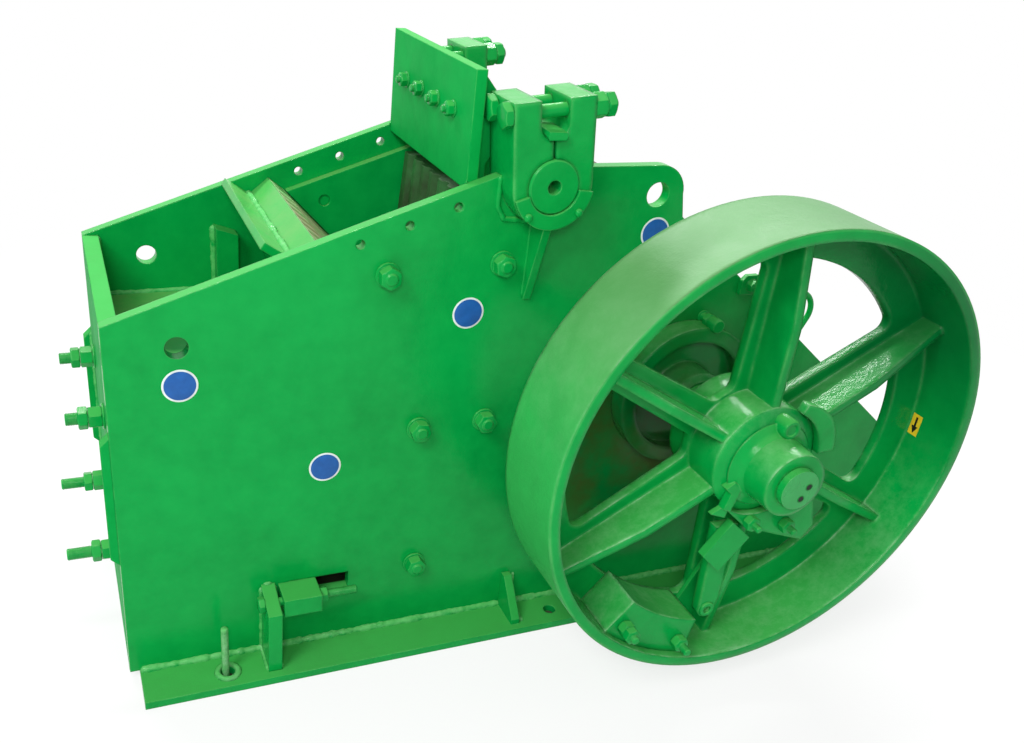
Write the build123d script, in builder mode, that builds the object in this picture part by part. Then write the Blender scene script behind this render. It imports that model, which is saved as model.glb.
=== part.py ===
from build123d import *
import os
from math import acos, asin, atan, atan2, cos, degrees, hypot, radians, sin, sqrt, tan

# Double-toggle jaw crusher, fixed plant, in millimetres.
# The origin is the centre of the frame on the underside of the base flanges. +Z is up, the feed end
# is at -X, the flywheel stands off the near side at -Y and the drive sheave off the far side at +Y.
# Lengths along the machine are given from the front edge of the side plates.

os.makedirs("parts", exist_ok=True)

# Frame
frame_length = 2250.0
frame_width = 596.0
plate = 30.0
front_height = 950.0
top_height = 1260.0
rear_height = 426.0
level_reach = 904.0
slope_drop = 57.0
slope_gap = 12.0
lug_reach = 1270.0
lug_radius = 70.0
lug_hole = 30.0
lift_hole = 25.0
lift_hole_x = 151.0
lift_hole_drop = 110.0
hopper_hole = 11.0
hopper_hole_x = 545.0
hopper_pitch = 110.0
hopper_drop = 36.0
upper_bolts = ((610.0, 131.0), (884.0, 212.0))
lower_bolts = ((710.0, 627.0), (882.0, 631.0), (727.0, 217.0))

# Base flanges
flange = 21.0
flange_reach = 115.0
flange_start = 23.0
anchor_hole = 17.0
anchor_inset = 228.0
anchor_reach = 64.0
gusset_x = 1004.0
gusset_height = 108.0
gusset_shoulder = 16.0
gusset_lip = 18.0
gusset_reach = 96.0
gusset = 24.0

# Front wall, shelf and posts
wall = 38.0
wall_clear = 1.0
shelf_drop = 160.0
shelf = 20.0
shelf_end = 392.0
post_x = 322.0
post_width = 56.0
post_depth = 48.0
post_drop = 92.0
post_flare = 60.0
bar_proud = 20.0
bar_low = 350.0
bar_drop = 260.0

# Jaw studs, nuts and frame bolts
stud = 15.0
stud_y = 158.0
stud_clear = 0.5
high_stud_drop = 280.0
high_stud_reach = 85.0
low_stud_z = 300.0
low_stud_reach = 115.0
nut_flats = 46.0
nut = 26.0
washer = 30.0
washer_thick = 5.0
frame_bolt_inset = 4.0

# Fixed jaw, as points of its profile: a place from the front edge and a drop below the sloping top edge
die = 45.0
die_back_drop = 18.0
die_top_x = 505.0
die_top_drop = 68.0
die_knee_x = 640.0
die_knee_drop = 254.5
die_foot_x = 700.0
die_foot_z = 330.0
valley_x = 416.0
valley_drop = 46.5
crest_x = 465.0
crest_drop = 22.5
holder_foot = 120.0
holder_low = 255.0
stud_end = 560.0
lip_x = 355.0
lip_proud = 15.0
lip = 18.0
lip_near_gap = 50.0
tooth_pitch = 60.0
tooth_depth = 12.0
groove_width = 46.0
groove_bed = 14.0
groove_lift = 2.0
side_gap = 2.0

# Cheek plates
cheek = 25.0
cheek_rear = 930.0
cheek_foot = 520.0
cheek_drop = 72.0
cheek_gap = 4.0

# Hinge pin, its split clamps and the guard plate
pin = 60.0
pin_x = 955.0
pin_drop = 24.0
pin_hole = 16.0
pin_hole_depth = 45.0
pin_proud = 6.0
pin_chamfer = 3.0
clamp_width = 190.0
clamp_depth = 130.0
clamp_top = 186.0
clamp_tilt = 6.0
clamp_slot = 68.0
clamp_slot_floor = 101.0
clamp_slit = 8.0
slit_bite = 10.0
keeper = 10.0
keeper_radius = 95.0
keeper_gap = 1.0
keeper_tilt = 12.0
clamp_bolt = 15.0
bolt_clear = 0.5
clamp_bolt_proud = 8.0
clamp_bolt_flats = 50.0
clamp_head = 20.0
clamp_bolt_v = 158.0
clamp_bolt_y = 39.0
clamp_rib = 20.0
clamp_rib_drop = 286.0
clamp_rib_toe = 8.0
guard_x = 790.0
guard = 26.0
wing = 18.0
wing_gap = 13.0
wing_step = 14.0
wing_rise = 24.0
wing_rear = 45.0
guard_down = 31.0
guard_up = 225.0

# Swing jaw
running = 0.05
swing_gap = 5.0
barrel = 92.0
swing_top_drop = 76.0
swing_die_top_x = 822.0
swing_die_foot_x = 762.0
swing_back = 150.0
swing_neck = 60.0
toggle_z = 460.0
toggle = 60.0
toggle_width = 240.0
toggle_gap = 12.0

# Rear crankcase
bulkhead_x = 1085.0
case_plate = 22.0
case_step = 140.0
case_inset = 20.0
eye_x = 1830.0
eye_inset = 33.0
eye_rod = 8.0
eye_bow = 57.0
eye_rise = 92.0
eye_foot = 20.0

# Crankshaft and bearings
shaft_x = 1439.0
shaft_z = 661.5
shaft = 65.0
shaft_end = 50.0
shaft_proud = 18.0
shaft_shoulder = 37.0
throw = 9.0
crank = 95.0
crank_half = 150.0
housing = 195.0
housing_wall = 40.0
housing_reach = 58.0
housing_bore = 150.0
seal = 85.0
seal_reach = 110.0
seal_chamfer = 15.0
housing_face = 16.0

# Flywheel
wheel = 582.5
wheel_gap = 196.0
wheel_width = 233.0
rim = 26.0
web_inset = 84.0
web = 26.0
window = 469.0
spokes = 6
spoke_root = 96.0
spoke_tip = 76.0
spoke_rib = 22.0
spoke_rib_root = 96.0
spoke_rib_tip = 62.0
spoke_rib_flat = 330.0
rib_bite = 2.0
hub = 140.0
hub_inset = 27.0
hub_slope = 20.0
hub_end = 80.0
hub_end_flare = 6.0
hub_end_reach = 68.0
window_corner = 28.0
window_land = 6.0

# Hub collar and counterweight, as angles about the shaft and places across and up from its centre
collar = 26.0
collar_fit = 0.2
lug_tip = 187.0
lug_start = 4.0
lug_end = 64.0
clamp_lobe = ((-92.0, -60.0), (-92.0, -112.0), (-18.0, -178.0), (168.0, -246.0), (196.0, -206.0),
              (150.0, -60.0))
hub_stud = 9.0
hub_stud_flats = 30.0
hub_stud_nut = 20.0
hub_stud_reach = 50.0
hub_stud_spots = ((-14.0, -157.0), (98.0, -184.0))
counter_root = 455.0
counter_start = -131.0
counter_end = -102.5
counter_high = 126.0
counter_fit = 0.5
counter_stud = 11.0
counter_stud_radius = 519.0
counter_stud_angles = (-127.0, -106.0)
counter_stud_flats = 36.0
counter_stud_nut = 22.0
counter_stud_reach = 56.0
counter_bar = ((-56.0, -158.0), (-121.0, -248.0), (-64.0, -304.0), (5.0, -212.0))
bar_thick = 24.0
arm_back = 62.0
arm_thick = 28.0
arm_root = 190.0
arm_width = 66.0
arm_eye = (-42.0, -450.0)
arm_eye_radius = 25.0
arm_eye_hole = 9.0
gore = 12.0
gore_root = 350.0
gore_tip = 548.0
gore_angle = -101.0

# Drive sheave
sheave = 400.0
sheave_offset = 6.0
groove_pitch = 26.0
grooves = 6
groove_depth = 20.0
groove_mouth = 20.0
groove_floor = 9.0
sheave_rim = 34.0
sheave_web = 24.0
sheave_hub = 120.0
sheave_hub_inset = 73.0
sheave_hub_back = 20.0
sheave_land = 5.0
sheave_window = 300.0

# Wedge adjusters
slot_x = 395.0
slot_end = 550.0
slot_low = 171.0
slot_high = 222.0
wedge_x = 368.0
wedge_length = 95.0
wedge_reach = 74.0
wedge_inside = 60.0
wedge_clear = 1.0
bracket_x = 325.0
bracket = 34.0
bracket_reach = 92.0
bracket_top = 226.0
bracket_shoulder = 196.0
adjuster = 11.0
adjuster_flats = 36.0
adjuster_head = 16.0
adjuster_nut = 20.0
adjuster_lead = 4.0
adjuster_end = 560.0

# Derived places
front = -frame_length / 2
rear = frame_length / 2
half = frame_width / 2
inner = half - plate
top_slope = (top_height - front_height) / level_reach
level_x = front + level_reach
lug_x = front + lug_reach
lug_z = top_height - lug_radius
anchor_x = frame_length / 2 - anchor_inset
anchor_y = half + anchor_reach
shelf_top = front_height - shelf_drop
bar_high = front_height - bar_drop
stud_rows = ((front_height - high_stud_drop, high_stud_reach), (low_stud_z, low_stud_reach))
pin_at = front + pin_x
pin_z = top_height - pin_drop
guard_low = pin_z - guard_down
guard_high = pin_z + guard_up
swing_top_z = pin_z - swing_top_drop
case_top = top_height - case_step
shaft_at = front + shaft_x
tilt = radians(clamp_tilt)
cheek_inner = inner - cheek
shaft_axis = Axis((shaft_at, 0, shaft_z), (0, 1, 0))
slope_run = lug_x + lug_radius + slope_gap
slope_top = lug_z - slope_drop

# Places along the shaft, outwards from the middle of the frame
wheel_back = half + wheel_gap
wheel_front = wheel_back + wheel_width
web_front = wheel_back + web_inset
hub_front = wheel_front - hub_inset
hub_end_front = wheel_front + hub_end_reach
shaft_step = wheel_front - shaft_shoulder
shaft_reach = hub_end_front + shaft_proud
rib_front = web_front + spoke_rib_root
collar_front = rib_front + collar
sheave_back = wheel_back + sheave_offset
sheave_hub_front = shaft_reach - sheave_hub_inset


def edge_height(x):
    return front_height + top_slope * (x - front)


def below_edge(x, drop):
    # Place at x from the front edge and drop below the sloping top edge.
    return (front + x, edge_height(front + x) - drop)


frame_bolt_spots = [below_edge(x, drop) for x, drop in upper_bolts] + [(front + x, z) for x, z in lower_bolts]


def meet(start, along, other, across):
    # Point where the line from start along one direction meets the line through other.
    turn = along[0] * across[1] - along[1] * across[0]
    gap = (other[0] - start[0], other[1] - start[1])
    share = (gap[0] * across[1] - gap[1] * across[0]) / turn
    return (start[0] + share * along[0], start[1] + share * along[1])


def save(piece, name):
    piece.part.label = name
    export_step(piece.part, "parts/" + name + ".step")


def save_pair(piece, name):
    save(piece, name + "_near")
    with BuildPart() as other:
        mirror(piece.part, about=Plane.XZ)
    save(other, name + "_far")


def polar(radius, angle):
    return (radius * cos(radians(angle)), radius * sin(radians(angle)))


def clamp_plane(y):
    return Plane(origin=(pin_at, y, pin_z), x_dir=(cos(tilt), 0, sin(tilt)), z_dir=(0, -1, 0))


def clamp_block():
    # Outline of a hinge clamp: a round foot about the pin under an upright block.
    Circle(clamp_width / 2)
    with Locations((0, clamp_top / 2)):
        Rectangle(clamp_width, clamp_top)


# Side plates
with BuildPart() as side_plate:
    with BuildSketch(Plane.XZ.offset(inner)):
        with BuildLine():
            Polyline((rear, flange), (front, flange), (front, front_height), (level_x, top_height),
                     (lug_x, top_height))
            TangentArc((lug_x, top_height), (lug_x + lug_radius, lug_z), tangent=(1, 0))
            Polyline((lug_x + lug_radius, lug_z), (slope_run, slope_top), (rear, rear_height), (rear, flange))
        make_face()
        with Locations((lug_x, lug_z)):
            Circle(lug_hole, mode=Mode.SUBTRACT)
        with Locations(below_edge(lift_hole_x, lift_hole_drop)):
            Circle(lift_hole, mode=Mode.SUBTRACT)
        with Locations(*[below_edge(hopper_hole_x + i * hopper_pitch, hopper_drop) for i in range(3)]):
            Circle(hopper_hole, mode=Mode.SUBTRACT)
        with Locations((front + (slot_x + slot_end) / 2, (slot_low + slot_high) / 2)):
            Rectangle(slot_end - slot_x, slot_high - slot_low, mode=Mode.SUBTRACT)
        with Locations((shaft_at, shaft_z)):
            Circle(housing_bore, mode=Mode.SUBTRACT)
        with Locations(*frame_bolt_spots):
            Circle(stud, mode=Mode.SUBTRACT)
    extrude(amount=plate)
    with BuildSketch(clamp_plane(-inner)):
        clamp_block()
    extrude(amount=plate, mode=Mode.SUBTRACT)
save_pair(side_plate, "side_plate")

# Base flanges, each with three anchor holes and a gusset
flange_span = rear - front - flange_start
with BuildPart() as base_flange:
    with BuildSketch(Plane.XY):
        with Locations(((front + flange_start + rear) / 2, -(inner + half + flange_reach) / 2)):
            Rectangle(flange_span, plate + flange_reach)
        with Locations(*[(x, -anchor_y) for x in (-anchor_x, 0, anchor_x)]):
            Circle(anchor_hole, mode=Mode.SUBTRACT)
    extrude(amount=flange)
    with BuildSketch(Plane.YZ.offset(front + gusset_x - gusset / 2)):
        with BuildLine():
            Polyline((-half, flange), (-half - gusset_reach, flange),
                     (-half - gusset_reach, flange + gusset_shoulder),
                     (-half - gusset_lip, flange + gusset_height),
                     (-half, flange + gusset_height), close=True)
        make_face()
    extrude(amount=gusset)
save_pair(base_flange, "base_flange")

# Front wall with its four stud holes
stud_spots = [(y, z) for z, reach in stud_rows for y in (-stud_y, stud_y)]
with BuildPart() as front_wall:
    with BuildSketch(Plane.YZ.offset(front)):
        with Locations((0, front_height / 2)):
            Rectangle(2 * inner, front_height)
        with Locations(*stud_spots):
            Circle(stud + wall_clear, mode=Mode.SUBTRACT)
    extrude(amount=wall)
save(front_wall, "front_wall")

# Chamfered bars on the front edges of the side plates
with BuildPart() as front_bar:
    with BuildSketch(Plane.XZ.offset(inner)):
        with BuildLine():
            Polyline((front, bar_low), (front - bar_proud, bar_low + bar_proud),
                     (front - bar_proud, bar_high - bar_proud), (front, bar_high), close=True)
        make_face()
    extrude(amount=plate)
save_pair(front_bar, "front_bar")

# Shelf inside the front box
with BuildPart() as front_shelf:
    with BuildSketch(Plane.XY.offset(shelf_top - shelf)):
        with Locations((front + (wall + shelf_end) / 2, 0)):
            Rectangle(shelf_end - wall, 2 * inner)
    extrude(amount=shelf)
save(front_shelf, "front_shelf")

# Posts that stand on the shelf against the side plates, with a flared foot
post_top = edge_height(front + post_x) - post_drop
with BuildPart() as front_post:
    with BuildSketch(Plane.XZ.offset(inner - post_depth)):
        with BuildLine():
            Polyline((front + post_x, shelf_top), (front + post_x, post_top),
                     (front + post_x + post_width, post_top - top_slope * post_width),
                     (front + post_x + post_width, shelf_top + post_flare))
            RadiusArc((front + post_x + post_width, shelf_top + post_flare),
                      (front + shelf_end, shelf_top), 4 * post_flare)
            Line((front + shelf_end, shelf_top), (front + post_x, shelf_top))
        make_face()
    extrude(amount=post_depth)
save_pair(front_post, "front_post")

# Fixed jaw: the die has a steep upper slope and a nearly upright lower face
knee = below_edge(die_knee_x, die_knee_drop)
foot = (front + die_foot_x, die_foot_z)
crest = below_edge(crest_x, crest_drop)
crown = below_edge(die_top_x, die_top_drop)
back_top = (crown[0] - die, crown[1] - die_back_drop)
back_knee = (knee[0] - die, knee[1] - die_back_drop)
back_foot = (foot[0] - die, foot[1])


def grooves_down(top, bends, bottom, width):
    # Cut the grooves between a die's teeth, running down its face and out at both ends.
    count = int(width / tooth_pitch)
    points = [top, *bends, bottom]
    run = [(points[1][i] - top[i]) for i in (0, 1)]
    fall = [(bottom[i] - points[-2][i]) for i in (0, 1)]
    lead = die / sqrt(run[0] ** 2 + run[1] ** 2)
    trail = die / sqrt(fall[0] ** 2 + fall[1] ** 2)
    points[0] = (top[0] - run[0] * lead, top[1] - run[1] * lead)
    points[-1] = (bottom[0] + fall[0] * trail, bottom[1] + fall[1] * trail)
    for groove in range(count):
        y = (groove - (count - 1) / 2) * tooth_pitch
        with BuildLine(Plane.XZ.offset(-y)) as path:
            Polyline(*points)
        start = path.line @ 0
        along = path.line % 0
        with BuildSketch(Plane(origin=start, x_dir=(0, 1, 0), z_dir=along)) as section:
            with BuildLine():
                Polyline((-groove_width / 2, groove_lift), (groove_width / 2, groove_lift),
                         (groove_bed / 2, -tooth_depth), (-groove_bed / 2, -tooth_depth), close=True)
            make_face()
        sweep(sections=section.sketch, path=path.line, transition=Transition.RIGHT, mode=Mode.SUBTRACT)


with BuildPart() as fixed_jaw_die:
    with BuildSketch(Plane.XZ.offset(-(inner - side_gap))):
        with BuildLine():
            Polyline(crest, crown, knee, foot, back_foot, back_knee, back_top, close=True)
        make_face()
    extrude(amount=2 * (inner - side_gap))
    grooves_down(crown, (knee,), foot, 2 * (inner - side_gap))
save(fixed_jaw_die, "fixed_jaw_die")

# Holder that carries the die, drilled for the studs
valley = below_edge(valley_x, valley_drop)
holder_heel = (back_foot[0], holder_low)
holder_toe = (back_foot[0] - holder_foot, holder_low)
holder_waist = (back_knee[0] - holder_foot, back_knee[1] - holder_foot)
with BuildPart() as fixed_jaw_holder:
    with BuildSketch(Plane.XZ.offset(-(inner - side_gap))):
        with BuildLine():
            Polyline(valley, crest, back_top, back_knee, back_foot, holder_heel, holder_toe, holder_waist,
                     close=True)
        make_face()
    extrude(amount=2 * (inner - side_gap))
    with BuildSketch(Plane.YZ.offset(front + wall)):
        with Locations(*stud_spots):
            Circle(stud + stud_clear)
    extrude(amount=stud_end - wall, mode=Mode.SUBTRACT)
save(fixed_jaw_holder, "fixed_jaw_holder")

# Feed lip, leaning forward from the valley
lip_top = below_edge(lip_x, -lip_proud)
lip_run = valley[0] - lip_top[0]
lip_rise = lip_top[1] - valley[1]
lip_length = sqrt(lip_run ** 2 + lip_rise ** 2)
lip_under = (lip_top[0] - lip * lip_rise / lip_length, lip_top[1] - lip * lip_run / lip_length)
holder_back = (holder_waist[0] - valley[0], holder_waist[1] - valley[1])
lip_seat = meet(lip_under, (lip_run, -lip_rise), valley, holder_back)
with BuildPart() as feed_lip:
    with BuildSketch(Plane.XZ.offset(-inner)):
        with BuildLine():
            Polyline(lip_top, valley, lip_seat, lip_under, close=True)
        make_face()
    extrude(amount=2 * inner - lip_near_gap)
save(feed_lip, "feed_lip")

# Cheek plates lining the chamber between the jaws
cheek_end = front + cheek_rear
die_run = (foot[0] - knee[0], foot[1] - knee[1])
cheek_toe = meet((knee[0] + cheek_gap, knee[1]), die_run, (0, cheek_foot), (1, 0))
with BuildPart() as cheek_plate:
    with BuildSketch(Plane.XZ.offset(cheek_inner)):
        with BuildLine():
            Polyline((crown[0] + cheek_gap, crown[1]), (cheek_end, edge_height(cheek_end) - cheek_drop),
                     (cheek_end, cheek_foot), (cheek_toe[0], cheek_foot), (knee[0] + cheek_gap, knee[1]),
                     close=True)
        make_face()
        with Locations(*frame_bolt_spots[:4]):
            Circle(stud, mode=Mode.SUBTRACT)
    extrude(amount=cheek)
    with BuildSketch(clamp_plane(-cheek_inner)):
        clamp_block()
    extrude(amount=cheek, mode=Mode.SUBTRACT)
save_pair(cheek_plate, "cheek_plate")

# Hinge clamps: split blocks gripping the pin
with BuildPart() as hinge_clamp:
    with BuildSketch(clamp_plane(-(half - clamp_depth / 2))):
        clamp_block()
        Circle(pin, mode=Mode.SUBTRACT)
        with Locations((0, (clamp_slot_floor + clamp_slot / 2 + clamp_top) / 2)):
            Rectangle(clamp_slot, clamp_top - clamp_slot_floor - clamp_slot / 2, mode=Mode.SUBTRACT)
        with Locations((0, clamp_slot_floor + clamp_slot / 2)):
            Circle(clamp_slot / 2, mode=Mode.SUBTRACT)
        with Locations((0, (pin + clamp_slot_floor) / 2)):
            Rectangle(clamp_slit, clamp_slot_floor - pin + slit_bite, mode=Mode.SUBTRACT)
    extrude(amount=clamp_depth)
    bore_plane = Plane(origin=(pin_at, -half, pin_z), x_dir=(0, 1, 0), z_dir=(cos(tilt), 0, sin(tilt)))
    with BuildSketch(bore_plane.offset(-clamp_width)):
        with Locations((-clamp_bolt_y, clamp_bolt_v), (clamp_bolt_y, clamp_bolt_v)):
            Circle(clamp_bolt + bolt_clear)
    extrude(amount=2 * clamp_width, mode=Mode.SUBTRACT)
save_pair(hinge_clamp, "hinge_clamp")

# Clamp bolts with heads at the front and nuts at the rear
with BuildPart() as clamp_bolts:
    with BuildSketch(bore_plane.offset(-clamp_width / 2 - clamp_head)):
        with Locations((-clamp_bolt_y, clamp_bolt_v), (clamp_bolt_y, clamp_bolt_v)):
            RegularPolygon(clamp_bolt_flats / 2, 6, major_radius=False)
    extrude(amount=clamp_head)
    with BuildSketch(bore_plane.offset(-clamp_width / 2)):
        with Locations((-clamp_bolt_y, clamp_bolt_v), (clamp_bolt_y, clamp_bolt_v)):
            Circle(clamp_bolt)
    extrude(amount=clamp_width + 2 * nut + clamp_bolt_proud)
    with BuildSketch(bore_plane.offset(clamp_width / 2)):
        with Locations((-clamp_bolt_y, clamp_bolt_v), (clamp_bolt_y, clamp_bolt_v)):
            RegularPolygon(clamp_bolt_flats / 2, 6, major_radius=False)
    extrude(amount=2 * nut)
save_pair(clamp_bolts, "clamp_bolts")

# Tapered ribs under the clamps
clamp_foot = pin_z - clamp_width / 2
clamp_rib_foot = pin_z - clamp_rib_drop
with BuildPart() as clamp_rib_piece:
    with BuildSketch(Plane.YZ.offset(pin_at - clamp_rib / 2)):
        with BuildLine():
            Polyline((-half, clamp_foot), (-half - clamp_depth / 2, clamp_foot),
                     (-half - clamp_rib_toe, clamp_rib_foot), (-half, clamp_rib_foot), close=True)
        make_face()
    extrude(amount=clamp_rib)
    with BuildSketch(clamp_plane(-half)):
        clamp_block()
    extrude(amount=clamp_depth, mode=Mode.SUBTRACT)
save_pair(clamp_rib_piece, "clamp_rib")

# Hinge pin
pin_half = half + clamp_depth / 2 + pin_proud
with BuildPart() as hinge_pin:
    with BuildSketch(Plane.XZ.offset(-pin_half)):
        with Locations((pin_at, pin_z)):
            Circle(pin)
    extrude(amount=2 * pin_half)
    chamfer(hinge_pin.edges().filter_by(GeomType.CIRCLE), pin_chamfer)
    with BuildSketch(Plane.XZ.offset(pin_half)):
        with Locations((pin_at, pin_z)):
            Circle(pin_hole)
    extrude(amount=-pin_hole_depth, mode=Mode.SUBTRACT)
    with BuildSketch(Plane.XZ.offset(-pin_half)):
        with Locations((pin_at, pin_z)):
            Circle(pin_hole)
    extrude(amount=pin_hole_depth, mode=Mode.SUBTRACT)
save(hinge_pin, "hinge_pin")

# Half rings that keep the pin in its clamps
keeper_angles = (180 + keeper_tilt, 360 - keeper_tilt)
with BuildPart() as pin_keeper:
    with BuildSketch(clamp_plane(-half - clamp_depth / 2)):
        with BuildLine():
            for radius in (pin + keeper_gap, keeper_radius):
                CenterArc((0, 0), radius, keeper_angles[0], keeper_angles[1] - keeper_angles[0])
            for angle in keeper_angles:
                Line(polar(pin + keeper_gap, angle), polar(keeper_radius, angle))
        make_face()
    extrude(amount=keeper)
save_pair(pin_keeper, "pin_keeper")

# Guard plate over the swing jaw, with wings that tie it to the clamps
guard_rear = front + guard_x + guard
wing_face = half - clamp_depth / 2 - swing_gap - side_gap
with BuildPart() as guard_plate:
    with BuildSketch(Plane.YZ.offset(front + guard_x)):
        with Locations((0, (guard_low + guard_high) / 2)):
            Rectangle(2 * inner, guard_high - guard_low)
    extrude(amount=guard)
    for side in (-wing_face, wing_face - wing):
        with BuildSketch(Plane.XZ.offset(-side - wing)):
            with BuildLine():
                Polyline((guard_rear, guard_low), (guard_rear, guard_high),
                         (pin_at - wing_rear, pin_z + barrel + wing_rise),
                         (pin_at - barrel - wing_gap, pin_z + wing_step),
                         (pin_at - barrel - wing_gap, guard_low), close=True)
            make_face()
        extrude(amount=wing)
save(guard_plate, "guard_plate")

# Swing jaw hung on the pin, with its toggle
swing_half = half - clamp_depth / 2 - swing_gap
swing_top = (front + swing_die_top_x + die, swing_top_z)
swing_foot = (front + swing_die_foot_x + die, die_foot_z)
toggle_root = swing_foot[0] + swing_back
with BuildPart() as swing_jaw:
    with BuildSketch(Plane.XZ.offset(-swing_half)):
        with BuildLine():
            Polyline(swing_top, swing_foot, (swing_foot[0] + swing_back * 0.5, die_foot_z),
                     (toggle_root, toggle_z - toggle), (toggle_root, toggle_z + toggle),
                     (pin_at + swing_neck, pin_z - swing_neck), close=True)
        make_face()
        with Locations((pin_at, pin_z)):
            Circle(barrel)
            Circle(pin + running, mode=Mode.SUBTRACT)
    extrude(amount=2 * swing_half)
save(swing_jaw, "swing_jaw")

with BuildPart() as swing_jaw_die:
    with BuildSketch(Plane.XZ.offset(-swing_half)):
        with BuildLine():
            Polyline(swing_top, swing_foot, (swing_foot[0] - die, die_foot_z),
                     (swing_top[0] - die, swing_top_z), close=True)
        make_face()
    extrude(amount=2 * swing_half)
    grooves_down((swing_foot[0] - die, die_foot_z), (), (swing_top[0] - die, swing_top_z), 2 * swing_half)
save(swing_jaw_die, "swing_jaw_die")

# Crankcase bulkhead with the toggle window
with BuildPart() as bulkhead:
    with BuildSketch(Plane.YZ.offset(front + bulkhead_x)):
        with Locations((0, (flange + case_top - case_plate) / 2)):
            Rectangle(2 * inner, case_top - case_plate - flange)
        with Locations((0, toggle_z)):
            Rectangle(toggle_width + 2 * toggle_gap, toggle + 2 * toggle_gap, mode=Mode.SUBTRACT)
    extrude(amount=case_plate)
save(bulkhead, "bulkhead")

# Toggle between the swing jaw and the crankcase, carried by the jaw
with BuildPart() as toggle_block:
    with BuildSketch(Plane.YZ.offset(toggle_root)):
        with Locations((0, toggle_z)):
            Rectangle(toggle_width, toggle)
    extrude(amount=front + bulkhead_x + 2 * case_plate - toggle_root)
save(toggle_block, "toggle_plate")

# Sloped crankcase cover, in line with the side plates' rear edge
slope_angle = atan((slope_top - rear_height) / (rear - slope_run))
case_drop = case_inset / cos(slope_angle)
case_start = front + bulkhead_x


def slope_height(x):
    return slope_top - (x - slope_run) * tan(slope_angle) - case_drop


case_bend = slope_run + (slope_top - case_drop - case_top) / tan(slope_angle)
case_end = rear - case_inset
plate_drop = case_plate / cos(slope_angle)
with BuildPart() as rear_cover:
    with BuildSketch(Plane.XZ.offset(-inner)):
        with BuildLine():
            Polyline((case_start, case_top), (case_bend, case_top), (case_end, slope_height(case_end)),
                     (case_end, slope_height(case_end) - plate_drop),
                     (case_bend - (plate_drop - case_plate) / tan(slope_angle), case_top - case_plate),
                     (case_start, case_top - case_plate), close=True)
        make_face()
    extrude(amount=2 * inner)
save(rear_cover, "rear_cover")

# Rear wall and floor of the crankcase
rear_wall_top = slope_height(case_end) - plate_drop
with BuildPart() as rear_wall:
    with BuildSketch(Plane.YZ.offset(case_end - case_plate)):
        with Locations((0, (flange + rear_wall_top) / 2)):
            Rectangle(2 * inner, rear_wall_top - flange)
    extrude(amount=case_plate)
save(rear_wall, "rear_wall")

with BuildPart() as crankcase_floor:
    with BuildSketch(Plane.XY.offset(flange)):
        with Locations(((case_start + 2 * case_plate + case_end - case_plate * 2) / 2, 0)):
            Rectangle(case_end - case_plate - case_start - case_plate, 2 * inner)
    extrude(amount=case_plate)
save(crankcase_floor, "crankcase_floor")

# Bearing housings, turned about the shaft
with BuildPart() as bearing_housing:
    with BuildSketch(Plane.XY.offset(shaft_z)):
        with BuildLine():
            Polyline((shaft_at + shaft + running, -inner), (shaft_at + housing_bore, -inner),
                     (shaft_at + housing_bore, -half), (shaft_at + housing, -half),
                     (shaft_at + housing, -half - housing_reach),
                     (shaft_at + housing - housing_wall, -half - housing_reach),
                     (shaft_at + housing - housing_wall, -half - housing_face),
                     (shaft_at + seal, -half - housing_face),
                     (shaft_at + seal, -half - seal_reach + seal_chamfer),
                     (shaft_at + seal - seal_chamfer, -half - seal_reach),
                     (shaft_at + shaft + running, -half - seal_reach), close=True)
        make_face()
    revolve(axis=shaft_axis)
save_pair(bearing_housing, "bearing_housing")

# Eccentric shaft with its crank inside the case
with BuildPart() as eccentric_shaft:
    for reach, radius in ((shaft_step, shaft), (shaft_reach, shaft_end)):
        with BuildSketch(Plane.XZ.offset(-reach)):
            with Locations((shaft_at, shaft_z)):
                Circle(radius)
        extrude(amount=2 * reach)
    with BuildSketch(Plane.XZ.offset(-crank_half)):
        with Locations((shaft_at + throw, shaft_z)):
            Circle(crank)
    extrude(amount=2 * crank_half)
save(eccentric_shaft, "eccentric_shaft")

# Flywheel: turned rim, web and hub, six windows between spokes, and a rib on each spoke
step_angle = 360 / spokes


def spoke_plane(angle):
    # Plane through the shaft axis and a spoke, x outwards and y along the shaft.
    turn = radians(angle)
    return Plane(origin=(shaft_at, 0, shaft_z), x_dir=(cos(turn), 0, sin(turn)),
                 z_dir=(-sin(turn), 0, cos(turn)))


wheel_plane = Plane(origin=(shaft_at, 0, shaft_z), x_dir=(1, 0, 0), z_dir=(0, -1, 0))


def window_outline(root, tip, root_radius, tip_radius, corner):
    # Opening between two spokes of a wheel, centred on the x direction.
    inner_half = 180 / spokes - degrees(asin(root / 2 / root_radius))
    outer_half = 180 / spokes - degrees(asin(tip / 2 / tip_radius))
    corners = [polar(root_radius, -inner_half), polar(tip_radius, -outer_half),
               polar(tip_radius, outer_half), polar(root_radius, inner_half)]
    with BuildSketch() as opening:
        with BuildLine():
            Line(corners[0], corners[1])
            ThreePointArc(corners[1], (tip_radius, 0), corners[2])
            Line(corners[2], corners[3])
            ThreePointArc(corners[3], (root_radius, 0), corners[0])
        make_face()
        fillet(opening.vertices(), corner)
    return opening.sketch


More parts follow.
